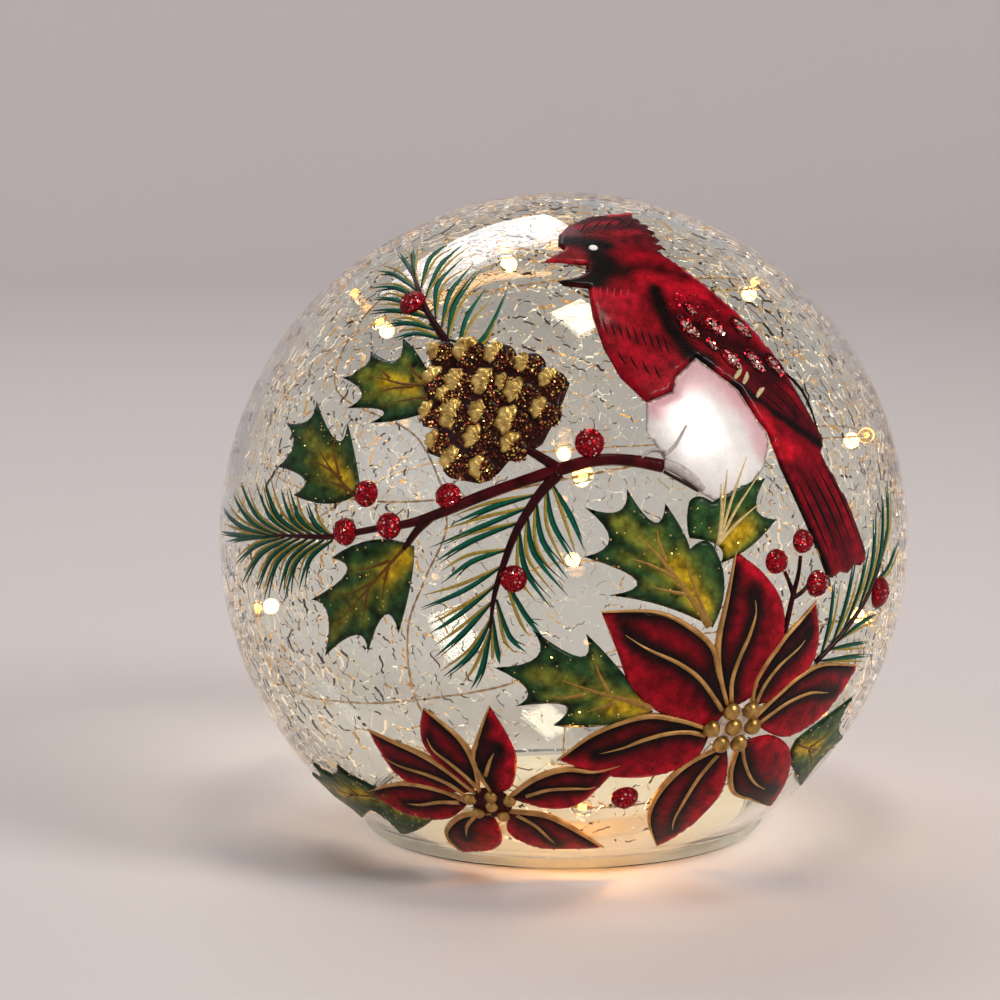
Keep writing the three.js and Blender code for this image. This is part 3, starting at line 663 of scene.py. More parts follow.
def ridge(points, low, high, colour, steps=4, ribs=6, smooth=True):
    """A raised brush stroke through (u, v, width) points, tapering in height with its width."""
    line = curve(points, steps) if smooth else points
    widest = max(p[2] for p in line)
    made, faces, paint = [], [], []
    for i, (u, v, width) in enumerate(line):
        u0, v0, _ = line[max(i - 1, 0)]
        u1, v1, _ = line[min(i + 1, len(line) - 1)]
        length = math.hypot(u1 - u0, v1 - v0) or 1.0
        width = max(width, 0.05)
        rise = (high - low) * math.sqrt(width / widest)
        for k in range(ribs):
            angle = math.pi * k / (ribs - 1)
            out = math.cos(angle) * width / 2
            made.append(on_globe(u - (v1 - v0) * out / length, v + (u1 - u0) * out / length,
                                 low + rise * math.sin(angle)))
            paint.append(colour(u, v) if callable(colour) else colour)
    for i in range(len(line) - 1):
        for k in range(ribs):
            a, b = i * ribs + k, i * ribs + (k + 1) % ribs
            faces.append([a, b, b + ribs, a + ribs])
    faces.append(list(range(ribs)))
    faces.append(list(range((len(line) - 1) * ribs, len(line) * ribs)))
    return made, faces, paint


def tapered(points, start, middle, end, turn=0.4, rise=2.5):
    """Widths for a stroke that swells to its middle width, and thins from the turn on."""
    last = len(points) - 1
    made = []
    for i, (u, v) in enumerate(points):
        t = i / last
        if t < turn:
            width = start + (middle - start) * min(1.0, t * rise)
        else:
            width = middle + (end - middle) * (t - turn) / (1 - turn)
        made.append((u, v, width))
    return made


BRUSH_SCALE = 0.35


def dabbed(base, dabs, grain):
    """A colour at each point: a ground, dabs laid over it in order, and uneven brushing."""
    laid = [(ink(code), strength, width, line) for code, strength, width, line in dabs]
    ground = ink(base)

    def colour(u, v):
        shade = ground
        for tone, strength, width, line in laid:
            t = min(1.0, (1.35 - away(line, u, v) / width) / 1.1)
            if t > 0:
                shade = mix(shade, tone, strength * t * t * (3 - 2 * t))
        rough = (noise.noise(Vector((u * BRUSH_SCALE, v * BRUSH_SCALE, 3.1)))
                 + 0.6 * noise.noise(Vector((u, v, 7.7))))
        return tuple(max(0.0, c * (1 + grain * 2 * rough)) for c in shade)
    return colour


def scatter(build, seed, outline, count, height, size, tilt=55, sides=5):
    """Glitter flakes over an area of the chart."""
    rng = random.Random(seed)
    us, vs = [p[0] for p in outline], [p[1] for p in outline]
    left = count
    while left:
        u, v = rng.uniform(min(us), max(us)), rng.uniform(min(vs), max(vs))
        if inside(outline, u, v):
            middle = on_globe(u, v, height(u, v) if callable(height) else height)
            out = (middle - CENTRE).normalized()
            build.add(*flake(rng, middle, out, rng.uniform(0.6, 1) * size, tilt, sides))
            left -= 1


def circle(u, v, r, count=32):
    return ring_of(r, count, u, v)


STEP = 0.9  # the spacing of the points of an enamel surface

# Poinsettias: each petal is its root, one edge, its tip, the other edge and its middle rib.
LARGE_PETALS = [
    ((39, -51), [(30, -47), (20, -45.2), (8, -49.6)], (-1.6, -57.6), [(36, -59), (26, -64), (12, -63.4)],
     [(9, -55.5), (15, -54), (20, -52), (26, -50.5), (32, -50.5), (37, -52)]),
    ((43, -45), [(39, -34), (36.5, -27), (29, -21), (21, -18)], (9, -18),
     [(38, -50), (25, -45), (17, -38), (13, -28)],
     [(14, -23), (20, -27), (28, -31), (34, -35.5), (39, -42), (41, -45)]),
    ((44, -56), [(33, -61), (26, -70), (24.4, -81)], (29, -96), [(46, -65), (45.4, -76), (38, -88)],
     [(32.5, -88), (32, -82), (34, -74), (37, -66), (41.5, -59)]),
    ((43, -45), [(39.6, -35), (38.6, -26), (40.6, -15)], (42.6, -3.6), [(50, -42), (57.6, -30), (57, -18),
     (51, -9.6)], [(47.5, -14), (48.5, -19), (47, -25), (44.5, -31), (43, -37), (43.5, -43)]),
    ((51, -49), [(58, -42.6), (65, -38), (74, -36.2)], (90, -39.6), [(56, -54), (65, -58), (76, -55),
     (84, -48)], [(80, -46), (75, -45), (69, -44), (62, -45.5), (57, -48), (53, -50.5)]),
    ((50, -45), [(50.6, -37), (57, -27.6), (62.6, -22.4)], (68, -17.4), [(57, -44), (68, -36), (70.2, -28)],
     [(66.5, -25), (63, -29.5), (57, -34), (53, -39), (51, -44)]),
    ((48, -56), [(47, -66), (50, -75), (58, -81)], (70, -91), [(58, -55.6), (67, -63), (71, -76)],
     [(66, -80), (60, -76), (55, -71), (51, -64), (49, -58)]),
]
LARGE_BEADS = [(43.5, -45.3), (49.3, -45.6), (38.3, -49.8), (44.7, -50.2), (50.5, -50.7), (41.6, -55),
               (47, -55.5)]
SMALL_PETALS = [
    ((-26, -74), [(-33, -70.6), (-42, -69.6), (-50, -72)], (-60, -78), [(-34, -83), (-46, -85), (-54, -82)],
     [(-46, -78.5), (-41, -77.5), (-35, -75), (-29, -74)]),
    ((-24, -70), [(-31, -63), (-38, -58.4), (-46, -55.6)], (-54, -53), [(-32, -71), (-45, -69.4), (-51, -61)],
     [(-51, -61), (-45, -63.5), (-37, -65), (-31, -67.5), (-27, -71)]),
    ((-20, -77), [(-29, -80), (-35, -88), (-35, -95)], (-32, -101), [(-18, -88), (-21, -95.6)],
     [(-29, -90), (-28, -84), (-25, -79)]),
    ((-23, -69), [(-23.4, -60), (-27, -52)], (-36, -44), [(-29, -66), (-36.6, -57), (-37.6, -50)],
     [(-36, -51), (-34.5, -56), (-30, -60), (-26, -64), (-22.5, -68.5)]),
    ((-15, -76), [(-5, -77), (3, -83)], (12, -93), [(-16, -86), (-8, -92.6), (2, -93.4)],
     [(-2, -90), (-4, -87), (-8, -81), (-13, -77)]),
    ((-15, -71), [(-8, -64), (0, -60.4), (8, -61.2)], (15, -59.4), [(-4, -74.6), (4, -73), (9.4, -67)],
     [(10, -65), (7, -66.5), (2, -66.5), (-4, -67), (-10, -69.5)]),
    ((-19, -70), [(-23.4, -59), (-22, -52)], (-18.4, -42), [(-14, -67), (-12, -58), (-14, -50.6)],
     [(-17, -54), (-19, -58), (-20.5, -63)]),
]
SMALL_BEADS = [(-25.3, -71.5), (-19.5, -70), (-14.5, -71), (-23.5, -76.5), (-16.5, -77), (-19.5, -73.5)]
BEAD = [(0, 0), *arc(0, 0, 1.0, 0, 90, 6)]


def standing(u, v, profile, scale, low, steps=20, stretch=1.0):
    """A turned form standing on the glass, its profile in units of scale."""
    up = (on_globe(u, v, 1) - on_globe(u, v, 0)).normalized()
    spin = up.to_track_quat("Z", "Y").to_matrix()
    shaped = [(0 if r < 1e-6 else r * scale, z * scale * stretch) for r, z in profile]
    return turned(shaped, steps, on_globe(u, v, low), spin)


def flower(name, petals, beads, bead_r, size):
    """Red petals with dark bands, gold along one edge and the rib, and gold beads in the middle."""
    blades, lines, centre = Build(), Build(), Build()
    for i, (root, edge_a, tip, edge_b, rib) in enumerate(petals):
        a = curve([root, *edge_a, tip], 8)
        b = curve([root, *edge_b, tip], 8)
        outline = a + b[-2:0:-1]
        beside = [(u * 0.93 + rib[0][0] * 0.07, v * 0.93 + rib[0][1] * 0.07) for u, v in b]
        low = FILM + 0.04 * i
        colour = dabbed("7c0214", [
            ("aa0a20", 0.8, 5.0, b[len(b) // 2:]),
            ("a80c20", 0.7, 3.0, beside[:len(b) // 2]),
            ("0b0507", 0.98, 3.8 * size, rib),
            ("0b0507", 0.98, 3.6 * size, a),
            ("a00a1e", 0.8, 2.4 * size, b),
            ("0a0406", 0.8, 5.5 * size, [root, root]),
            ("b01020", 0.6, 3.0 * size, [tip, tip]),
        ], 0.42)
        blades.add(*filled(outline, STEP, low, 0.62 + low, 0.9, colour))
        lines.add(*ridge(tapered(a, 1.2, 1.6, 0.4, 0.5, 3), 0.1, 1.2, (1, 1, 1), smooth=False))
        lines.add(*ridge(tapered(rib, 0.2, 1.2, 1.5), 0.35, 1.2, (1, 1, 1)))
    for u, v in beads:
        centre.add(*standing(u, v, BEAD, bead_r, 0.9))
    blades.piece(name + "_petals", ENAMEL, "red_enamel", nodes=[name])
    lines.piece(name + "_gold_lines", GOLD_PAINT, "gold_glitter")
    centre.piece(name + "_beads", BEAD_GOLD, "gold_glitter")


flower("poinsettia_large", LARGE_PETALS, LARGE_BEADS, 2.3, 1.0)
flower("poinsettia_small", SMALL_PETALS, SMALL_BEADS, 1.7, 0.9)
for name, u, v, r, colour in (("poinsettia_large_heart", 45, -50.3, 5.6, "dccbb8"),
                              ("poinsettia_small_heart", -19.8, -73.2, 5.8, "3a0a0c")):
    heart = Build().add(*filled(circle(u, v, r), STEP, 0.4, 0.95, 0.8, dabbed(colour, [], 0.2)))
    heart.piece(name, ENAMEL, "gold_glitter")


def holly(stem, stations):
    """A leaf's outline: its stem, then a hollow and a point for every prickle."""
    outline, start = [], stem
    for hollow, point in stations:
        control = [2 * h - (s + p) / 2 for h, s, p in zip(hollow, start, point)]
        for k in range(8):
            t = k / 8
            outline.append(tuple((1 - t) ** 2 * s + 2 * t * (1 - t) * c + t * t * p
                                 for s, c, p in zip(start, control, point)))
        start = point
    return outline


# Holly leaves: the outline, the veins and the line where the green pales.
LEAVES = [
    (holly((-34, 41), [((-38.6, 48.4), (-43, 53)), ((-44.4, 46.4), (-52.6, 50.6)), ((-53, 47), (-56.4, 45.2)),
                       ((-57.6, 44), (-61, 43.8)), ((-53.6, 38), (-58, 34.2)), ((-46.6, 32.4), (-50, 29.4)),
                       ((-42, 29.4), (-34, 31)), ((-33, 36), (-34, 41))]),
     [[(-34, 38), (-41, 39), (-48, 41.5), (-54, 43)], [(-45, 41), (-47, 43), (-49, 46)], [(-36, 40),
      (-39, 43), (-41.5, 46)], [(-38, 38), (-45, 38), (-52, 36.5)], [(-34, 35), (-40, 34.5), (-46, 34)]],
     [(-38, 38), (-46, 40)]),
    (holly((-51.6, 12), [((-54, 21.5), (-57, 30)), ((-60.2, 25.6), (-69, 38)), ((-71.4, 32.4), (-80.6, 33)),
                         ((-76, 25.6), (-82, 20)), ((-70.6, 15.6), (-74.4, 11.4)), ((-63, 8.6), (-54, 10)),
                         ((-52.6, 10.6), (-51.6, 12))]),
     [[(-53.5, 11), (-57, 14), (-62, 19), (-66, 24), (-70, 28)], [(-57, 15), (-64, 19), (-69, 20.5)],
      [(-55, 12), (-60, 14), (-66, 15.5)], [(-58, 16), (-60, 22), (-60.5, 27)]],
     [(-56, 14), (-62, 20)]),
    (holly((-36.4, -2.4), [((-48, -0.8), (-60.6, -5.6)), ((-56, -9.4), (-68, -17)), ((-62.6, -21),
                           (-65, -32.6)), ((-54, -25.6), (-50.8, -30.4)), ((-45, -19.8), (-41.4, -24.4)),
                           ((-37.6, -12), (-36.4, -2.4))]),
     [[(-39, -3), (-44, -8), (-49, -13), (-54, -18), (-59, -22.5), (-62, -26)], [(-43, -6), (-49, -8),
      (-54, -8.5)], [(-47, -11), (-54, -14.5), (-60, -15.5)], [(-43, -7), (-44.5, -12), (-45.5, -18)],
      [(-49, -13), (-50.5, -19), (-51, -22)]],
     [(-39, -5), (-44, -10)]),
    (holly((37, -22.6), [((24, -16.8), (10.6, -14)), ((17.4, -10.6), (4.8, -4.8)), ((10.8, -0.6), (5, 6.9)),
                         ((13, 6), (15, 11.4)), ((21.6, 3.4), (24.4, 8)), ((28.6, 1.6), (30.6, -3)),
                         ((34.6, -1), (37.6, -4)), ((39.8, -13), (37, -22.6))]),
     [[(36, -22), (27, -10), (20, -2), (12, 4.5)], [(24.5, -6), (22.6, -1), (22.2, 3)],
      [(27, -10), (20, -6.5), (13.5, -4.6)], [(30, -14), (25, -13), (19, -11.3)],
      [(36, -22), (32, -13), (30, -8), (29, -2)]],
     [(34, -17), (27, -7)]),
    (holly((38.6, -6.6), [((38, -2.4), (30.4, -0.4)), ((29.8, 4), (30.4, 8.4)), ((33, 9.8), (36.6, 8.4)),
                          ((43, 12.6), (51.4, 14.8)), ((48.6, 7), (54.4, 4.4)), ((46.8, -2.6),
                          (38.6, -6.6))]),
     [],
     [(40, -2), (45, 2)]),
    (holly((22.6, -44.2), [((13.4, -32), (5.4, -23.2)), ((4, -29), (-7.8, -21.8)), ((-6.4, -29),
                           (-17, -32)), ((-9, -37.6), (-12, -42.2)), ((0.4, -41.8), (-2.8, -47.4)),
                           ((10, -47.6), (22.6, -44.2))]),
     [[(22, -43), (16, -40.5), (8, -38), (0, -35), (-7, -33)], [(11, -38), (8.5, -33), (7, -28)],
      [(13, -41), (8, -42.5), (4, -44)], [(5, -38.5), (0, -39.5), (-4, -39)]],
     [(20, -42), (12, -42)]),
    (holly((-37, -82), [((-46, -77), (-50, -70.6)), ((-55, -75), (-66, -72)), ((-60, -81), (-68, -90)),
                        ((-59, -91), (-55, -101)), ((-46, -93), (-37, -82))]),
     [[(-57, -82), (-59, -82), (-61, -82), (-63, -82)]],
     [(-42, -82), (-50, -82)]),
    (holly((69, -60), [((80, -55), (94.4, -51)), ((90, -61), (101, -72)), ((88, -76), (85, -90)),
                       ((76, -78), (70, -70)), ((68, -65), (69, -60))]),
     [[(70, -62), (75, -65), (85, -70), (95, -74)], [(76, -66), (80, -72), (83, -78)],
      [(76, -65), (83, -63), (90, -60)]],
     [(72, -64), (80, -66)]),
    (holly((-50, -75), [((-60, -75), (-70, -70)), ((-75, -77), (-85, -75)), ((-85, -84), (-100, -90)),
                        ((-88, -92), (-90, -100)), ((-78, -97), (-75, -105)), ((-65, -92), (-50, -75))]),
     [[(-52, -77), (-65, -82), (-75, -85), (-88, -88)], [(-65, -82), (-70, -78), (-73, -75)],
      [(-68, -83), (-75, -90), (-80, -96)]],
     [(-62, -80), (-75, -86)]),
]
CAD_LEAVES = 8  # the ninth leaf is a flat painted one, with no raised body under it
LEAF_LOW = {4: 0.12, 5: 0.06}  # these two lie over their neighbours
BROAD_VEINED = (4, 6)
specks = Build()
for number, (outline, veins, glow) in enumerate(LEAVES, 1):
    colour = dabbed("2a4a26", [
        ("6e7426", 0.85, 5.5, glow),
        ("7c7a26", 0.7, 2.6, veins[0] if veins else glow),
        *[("6c7026", 0.7, 1.8, vein) for vein in veins[1:]],
        ("10281a", 0.85, 1.6, outline + outline[:1]),
        ("c4a01c", 0.85, 2.8, glow),
    ], 0.55)
    low = LEAF_LOW.get(number, FILM)
    blade = Build().add(*filled(outline, STEP, low, 0.55 + low, 0.8, colour))
    broad = number in BROAD_VEINED
    for vein in veins:
        tone = ink("a07a3c" if broad else "6e4a1c")
        start = (2.2 if vein is veins[0] else 1.4) if broad else 1.2
        blade.add(*ridge(tapered(vein, start, start * 0.75, 0.3), low + 0.2, low + 0.8, tone))
    nodes = [f"holly_leaf_{number}"] if number <= CAD_LEAVES else []
    blade.piece(f"holly_leaf_{number}_enamel", ENAMEL, "green_enamel", nodes=nodes)
    scatter(specks, 40 + number, outline, 34, low + 0.64, 0.3)

STAMEN_ROOT = (37.5, -2)
stamens = Build()
for tip in ((38.6, 13), (40.4, 16.5), (46, 20), (49, 15.3), (49.4, 8.5)):
    middle = ((STAMEN_ROOT[0] + tip[0]) / 2 + (42 - tip[0]) * 0.12, (STAMEN_ROOT[1] + tip[1]) / 2)
    stamens.add(*ridge(tapered([STAMEN_ROOT, middle, tip], 0.9, 0.9, 0.2), 0.3, 1.2, ink("d9c38a")))
stamens.piece("poinsettia_large_stamens", ENAMEL, "gold_glitter")
specks.facets("leaf_gold_specks", GOLD_GLITTER, "gold_glitter")

# Branch, twigs and berry stalks.
BRANCH = [
    [(24, 17, 3.4), (16, 18.2, 3), (8, 18.2, 3), (0, 16.2, 3.2), (-10, 13, 2.8), (-20, 9.5, 2.8),
     (-30, 5.6, 2.6), (-38, 3.2, 2.2), (-48, 1.8, 1.8), (-60, 0, 1.7), (-72, 0.1, 1.2), (-82, 0.4, 0.6)],
    [(-1, 16, 2.8), (-5, 18.6, 2.4), (-9, 21, 2)],
    [(-1, 15, 3), (-6, 9.6, 2.4), (-11, 1.5, 2), (-14, -6, 1.7), (-16.5, -14, 1.3), (-17.6, -22, 0.7)],
    [(-31, 5.4, 2.2), (-35.5, 1.6, 2), (-39, -3, 1.3)],
]
STALKS = [
    [(58, -25, 1.6), (59, -20, 1.5), (60, -15, 1.4)], [(60, -15, 1.4), (58.6, -12, 1.1), (57, -9, 0.9)],
    [(60, -15, 1.4), (61.4, -10, 1.1), (62, -5, 0.9)], [(60, -16, 1.3), (63, -14.6, 1.1), (65, -12.6, 0.9)],
]
bark = dabbed("2e060b", [("5c0c14", 0.7, 0.8, [(x, y + 0.7) for x, y, _ in BRANCH[0]])], 0.35)
wood = Build()
for points in BRANCH:
    wood.add(*ridge(points, FILM, 1.45, bark))
wood.piece("branch_enamel", ENAMEL, "brown_enamel", nodes=["branch"])
stalks = Build()
for points in STALKS:
    stalks.add(*ridge(points, FILM, 0.9, bark))
stalks.piece("berry_stalks", ENAMEL, "brown_enamel")


def spray(count, start, end, lengths, steepest):
    """Needles along the branch from start to end, longer and lying flatter towards its end."""
    needles = []
    for k in range(count):
        along = k / (count - 1)
        root = (start[0] + (end[0] - start[0]) * along, start[1] + (end[1] - start[1]) * along)
        length = lengths[0] + (lengths[1] - lengths[0]) * along + (1.5 if k % 2 else -1.5)
        tilt = math.radians(steepest * (1 - 0.94 * along ** 2.5))
        bend = tilt * 0.65
        middle = (root[0] - length * 0.5 * math.cos(bend), root[1] + length * 0.5 * math.sin(bend))
        needles.append([root, middle, (root[0] - length * math.cos(tilt), root[1] + length * math.sin(tilt))])
    return needles


# Pine sprigs: a stem and needles, each needle green with an ochre stroke beside it. The left one
# grows from the branch itself.
SPRIGS = {
    "upper": (
        [(-30, 50, 2.4), (-34, 56, 2), (-38, 63, 1.7), (-41, 70, 1.4), (-44, 77, 1), (-46.5, 86, 0.6)],
        [[(-30, 51), (-21, 50), (-15, 65)], [(-27, 47), (-25.5, 57), (-21, 67)], [(-30, 51), (-29, 62),
         (-23, 74)], [(-32, 55), (-31, 66), (-25.5, 77)], [(-34, 58), (-35, 70), (-29, 80)], [(-38, 66),
         (-35.5, 78), (-30, 86.5)], [(-40, 70), (-39.5, 82), (-35, 88)], [(-31, 51), (-39, 54),
         (-46, 53.5)], [(-33, 54), (-42, 58), (-50, 58.5)], [(-35, 58), (-46, 63), (-56, 65)], [(-36, 60),
         (-47, 67), (-55, 70)], [(-38, 64), (-48, 72), (-58, 75)], [(-40, 68), (-50, 78), (-58, 83)],
         [(-41, 71), (-47, 82), (-52, 90)], [(-43, 76), (-45.5, 84), (-47, 90)]],
    ),
    "left": (
        [],
        [*spray(9, (-60, 0), (-84, 0), (14, 40), 46), *spray(8, (-60, -1), (-80, 0), (20, 32), -48)],
    ),
    "centre": (
        [],
        [[(-6, 10), (-17, 7), (-27, 3)], [(-8, 7), (-18, 3), (-32, -2.5)], [(-10, 3.5), (-22, -1),
         (-31, -6)], [(-13, -3), (-22, -6), (-29, -11)], [(-14.5, -7), (-24, -13), (-35, -17.5)],
         [(-15.5, -11), (-24, -18), (-33, -24)], [(-16.5, -15), (-24, -23), (-32, -30)], [(-17, -19),
         (-22, -28), (-30, -35)], [(-17.4, -22), (-20, -32), (-23, -38)], [(-3, 13), (1.5, 5), (5, -3.5)],
         [(-4, 12), (-2.5, 3), (3, -7)], [(-6.5, 9), (-5, -1), (1, -10)], [(-8.5, 5), (-7, -4), (1, -14)],
         [(-10.5, 2), (-9, -8), (-3, -17)], [(-14.5, -9), (-9, -19), (-5, -24)], [(-16, -15), (-13, -24),
         (-9, -28)], [(-17, -19), (-16, -28), (-15.5, -31)]],
    ),
    "right": (
        [(70, -35, 1.6), (78, -29, 1.4), (86, -22, 1.2), (92, -15, 1), (96, -8, 0.8)],
        [[(72, -33), (74, -24), (75, -12)], [(76, -30), (80, -20), (84, -5)], [(80, -27), (86, -15),
         (90, -3)], [(78, -30), (88, -26), (98, -24)], [(75, -32), (84, -32), (95, -33)], [(72, -35),
         (85, -36), (96, -38)], [(86, -22), (92, -8), (94, 8)], [(90, -18), (97, -4), (99, 12)], [(94, -12),
         (101, 2), (103, 18)], [(93, -14), (102, -10), (110, -2)]],
    ),
}
for tag, (stem, needles) in SPRIGS.items():
    rng = random.Random(tag)
    sprig = Build()
    if stem:
        sprig.add(*ridge(stem, FILM, 1.0, bark))
    for root, middle, tip in needles:
        for shift, tone, width in ((0, "0c5c46", 1.5), (1.25, "a8903c", 1.05), (-0.5, "08382c", 0.7)):
            du, dv = tip[1] - root[1], root[0] - tip[0]
            length = math.hypot(du, dv)
            slide = shift * rng.uniform(0.7, 1.5) / length
            reach = rng.uniform(0.8, 1.02) if shift else 1.0
            points = [root, (middle[0] + du * slide, middle[1] + dv * slide),
                      (root[0] + (tip[0] - root[0]) * reach + du * slide * 1.5,
                       root[1] + (tip[1] - root[1]) * reach + dv * slide * 1.5)]
            top = 0.32 if shift > 0 else 0.45 - 0.1 * shift
            sprig.add(*ridge(tapered(points, 0.6, width, 0.12), FILM, top, ink(tone), 6))
    sprig.piece("pine_sprig_" + tag, ENAMEL, "green_enamel")

# Pinecone: overlapping scales, gold brushed over their upper left and bronze glitter below.
PINECONE = [
    (-30, 50), (-26, 47), (-22, 50), (-19, 46.6), (-15, 47.8), (-11.5, 45), (-7.5, 45.2), (-4.5, 41.5),
    (-1, 40.5), (1.6, 37.5), (0, 33), (-2, 28), (-5, 22), (-9, 19.5), (-13, 18), (-15.5, 15), (-20, 12.6),
    (-24, 13.4), (-27.6, 17), (-29.5, 19), (-33.6, 20.6), (-33.6, 23.6), (-31, 26.4), (-35, 27.4),
    (-36, 30.6), (-34, 33.6), (-35.8, 38), (-33.6, 42), (-34.6, 46.6),
]
SCALES = [
    (-31, 47, 3.8), (-23.5, 46, 4.6), (-15.5, 44.5, 4.4), (-8, 42, 4.2), (-2.4, 37.2, 4),
    (-31.5, 38.5, 4.4), (-25, 37.5, 4.8), (-17.5, 37, 5), (-9.5, 34, 5), (-32, 30, 3.8), (-25.5, 29, 5),
    (-18.5, 29.5, 4.6), (-11.5, 27, 4.8), (-4, 29.5, 4.2), (-19.5, 22.5, 4.8), (-30, 22.8, 3.6),
    (-25.5, 17.5, 4.4), (-19, 16, 3.6), (-11.5, 21, 3.8), (-13.5, 37, 3.4), (-28.4, 34, 3.4),
]


def scale_dome(u, v, r, top):
    """The height of a pinecone scale over the glass, at any point of the chart."""
    def height(x, y):
        return 0.5 + (top - 0.3) * math.sqrt(max(0.0, 1 - ((x - u) ** 2 + (y - v) ** 2) / (r * r)))
    return height


def gold_edge(rng, u, v, r):
    """A brush stroke round the upper left of a scale, as (u, v, width) points."""
    swing = rng.uniform(-25, 25)
    sweep = rng.uniform(120, 190)
    lump = rng.uniform(0, 6)
    stroke = []
    for k in range(11):
        angle = math.radians(150 + sweep / 2 + swing - sweep * k / 10)
        swell = 0.6 + 0.54 * math.sin(math.pi * k / 10) + 0.14 * math.sin(lump + 2.3 * k)
        middle_u = u + r * (0.46 * math.cos(angle) - 0.06)
        middle_v = v + r * (0.5 * math.sin(angle) + 0.08)
        stroke.append((middle_u, middle_v, r * swell))
    return stroke


cone = Build().add(*filled(PINECONE, STEP, FILM, 1.1, 1.5, dabbed("2c1310", [], 0.4)))
cone_gold, cone_glitter, cone_sugar = Build(), Build(), Build()
rng = random.Random(8)
for u, v, r in SCALES:
    top = 1.75 + rng.uniform(-0.25, 0.3)
    cone.add(*standing(u, v, BEAD, r * 0.86, 0.4, 24, (top - 0.4) / r / 0.86), colour=ink("221010"))
    cone_gold.add(*ridge(gold_edge(rng, u, v, r), 0.6, top + 0.75, (1, 1, 1), 4, 11))
    bronze_area = circle(u + r * 0.2, v - r * 0.25, r * 0.7, 12)
    sugar_area = circle(u + r * 0.15, v - r * 0.2, r * 0.75, 12)
    scatter(cone_glitter, int(100 + u * 7 + v), bronze_area, 80, scale_dome(u, v, r, top), 0.34)
    scatter(cone_sugar, int(300 + u * 7 + v), sugar_area, 36, top + 0.3, 0.3, 70)
cone.piece("pinecone_body", ENAMEL, "brown_enamel", nodes=["pinecone"])
cone_gold.piece("pinecone_gold", CONE_GOLD, "gold_glitter")
scatter(cone_glitter, 9, PINECONE, 420, 1.35, 0.36)
cone_sugar.facets("pinecone_gold_glitter", GOLD_GLITTER, "gold_glitter")
cone_glitter.facets("pinecone_glitter", BRONZE_GLITTER, "gold_glitter")

# Berries: sugared with glitter. The last two are painted ones beside the sprigs.
BERRIES = [
    (-49.6, 10.8, 3.4), (-55.7, 1.2, 3.5), (-43, 2.6, 3.4), (-27.6, 9.7, 3.3), (6.2, 22.2, 3.7),
    (-11.8, -10, 3.4), (54, -6.3, 3.2), (62.2, -1.2, 3.1), (67.5, -12.5, 3.5), (16.5, -70.5, 3.6),
    (-41.5, 64.3, 3.6), (96, -17, 4.2),
]
CAD_BERRIES = 10
BERRY_HEIGHT = 2.4
BERRY_RED = bumpy(mottled(
    surface("berry_red", "6e0610", **GLOSS), 420, [(0.3, ink("46040a")), (0.7, ink("8c0c1a"))], Detail=4.0),
    900, 0.0003)
for i, (u, v, r) in enumerate(BERRIES, 1):
    berry = Build().add(*standing(u, v, BEAD, r * 0.96, 0.3, 28, BERRY_HEIGHT / r / 0.96))
    nodes = [f"berry_{i:02d}"] if i <= CAD_BERRIES else []
    berry.piece(f"berry_bead_{i:02d}", BERRY_RED, "red_glitter", nodes=nodes)
glitter, glints = Build(), Build()
rng = random.Random(21)
for u, v, r in BERRIES:
    for _ in range(150):
        angle, out = rng.uniform(0, 2 * math.pi), math.sqrt(rng.random()) * 0.97
        height = 0.32 + BERRY_HEIGHT * math.sqrt(1 - out * out)
        at = on_globe(u + out * r * math.cos(angle), v + out * r * math.sin(angle), height)
        heap = glints if rng.random() < 0.14 else glitter
        heap.add(*flake(rng, at, (at - on_globe(u, v, -1.0)).normalized(), rng.uniform(0.2, 0.36), 40, 5))
glitter.facets("berry_glitter", RED_GLITTER, "red_glitter")
glints.facets("berry_glints", PALE_GLITTER, "red_glitter")

# Cardinal.
CARDINAL = [
    (-5.8, 75.2), (0, 80.4), (-1.6, 82), (-1.5, 87), (1.5, 92), (7, 97), (14, 99.4), (22, 103), (21.6, 98.8),
    (24.4, 97.8), (22.6, 95.6), (26.4, 95.4), (25, 93), (28, 92.4), (26, 89.6), (29, 88.4), (26.8, 85.6),
    (30, 84.6), (27, 82.6), (36, 74), (46, 64.5), (52, 58), (57, 51.4), (62, 43.4), (67, 34), (71.4, 26.6),
    (71, 24.4), (70, 22.6), (79, 10.4), (86.6, -2), (87.6, -6.6), (85.6, -8.4), (82.6, -8), (79.6, -10.4),
    (76.6, -9.8), (73.6, -11.4), (71, -10.4), (61, 8), (56, 17.5), (52.6, 27), (50, 30), (45, 38), (38, 43),
    (34, 46), (28, 40), (27, 36), (20.2, 32.8), (14, 39), (10, 47), (7.6, 56), (6.4, 65.6),
    (0, 66.4), (-1.6, 68.2), (4, 69.6), (6.2, 71.6), (6, 74), (-1, 75),
]
BELLY = [
    (20.2, 32.8), (27, 36), (28, 40), (34, 46), (38, 43), (45, 38), (50, 30), (52.6, 27), (53, 24),
    (51, 17.5), (45, 10.6), (37, 8.6), (30, 12.6), (24, 19), (20, 25.6),
]
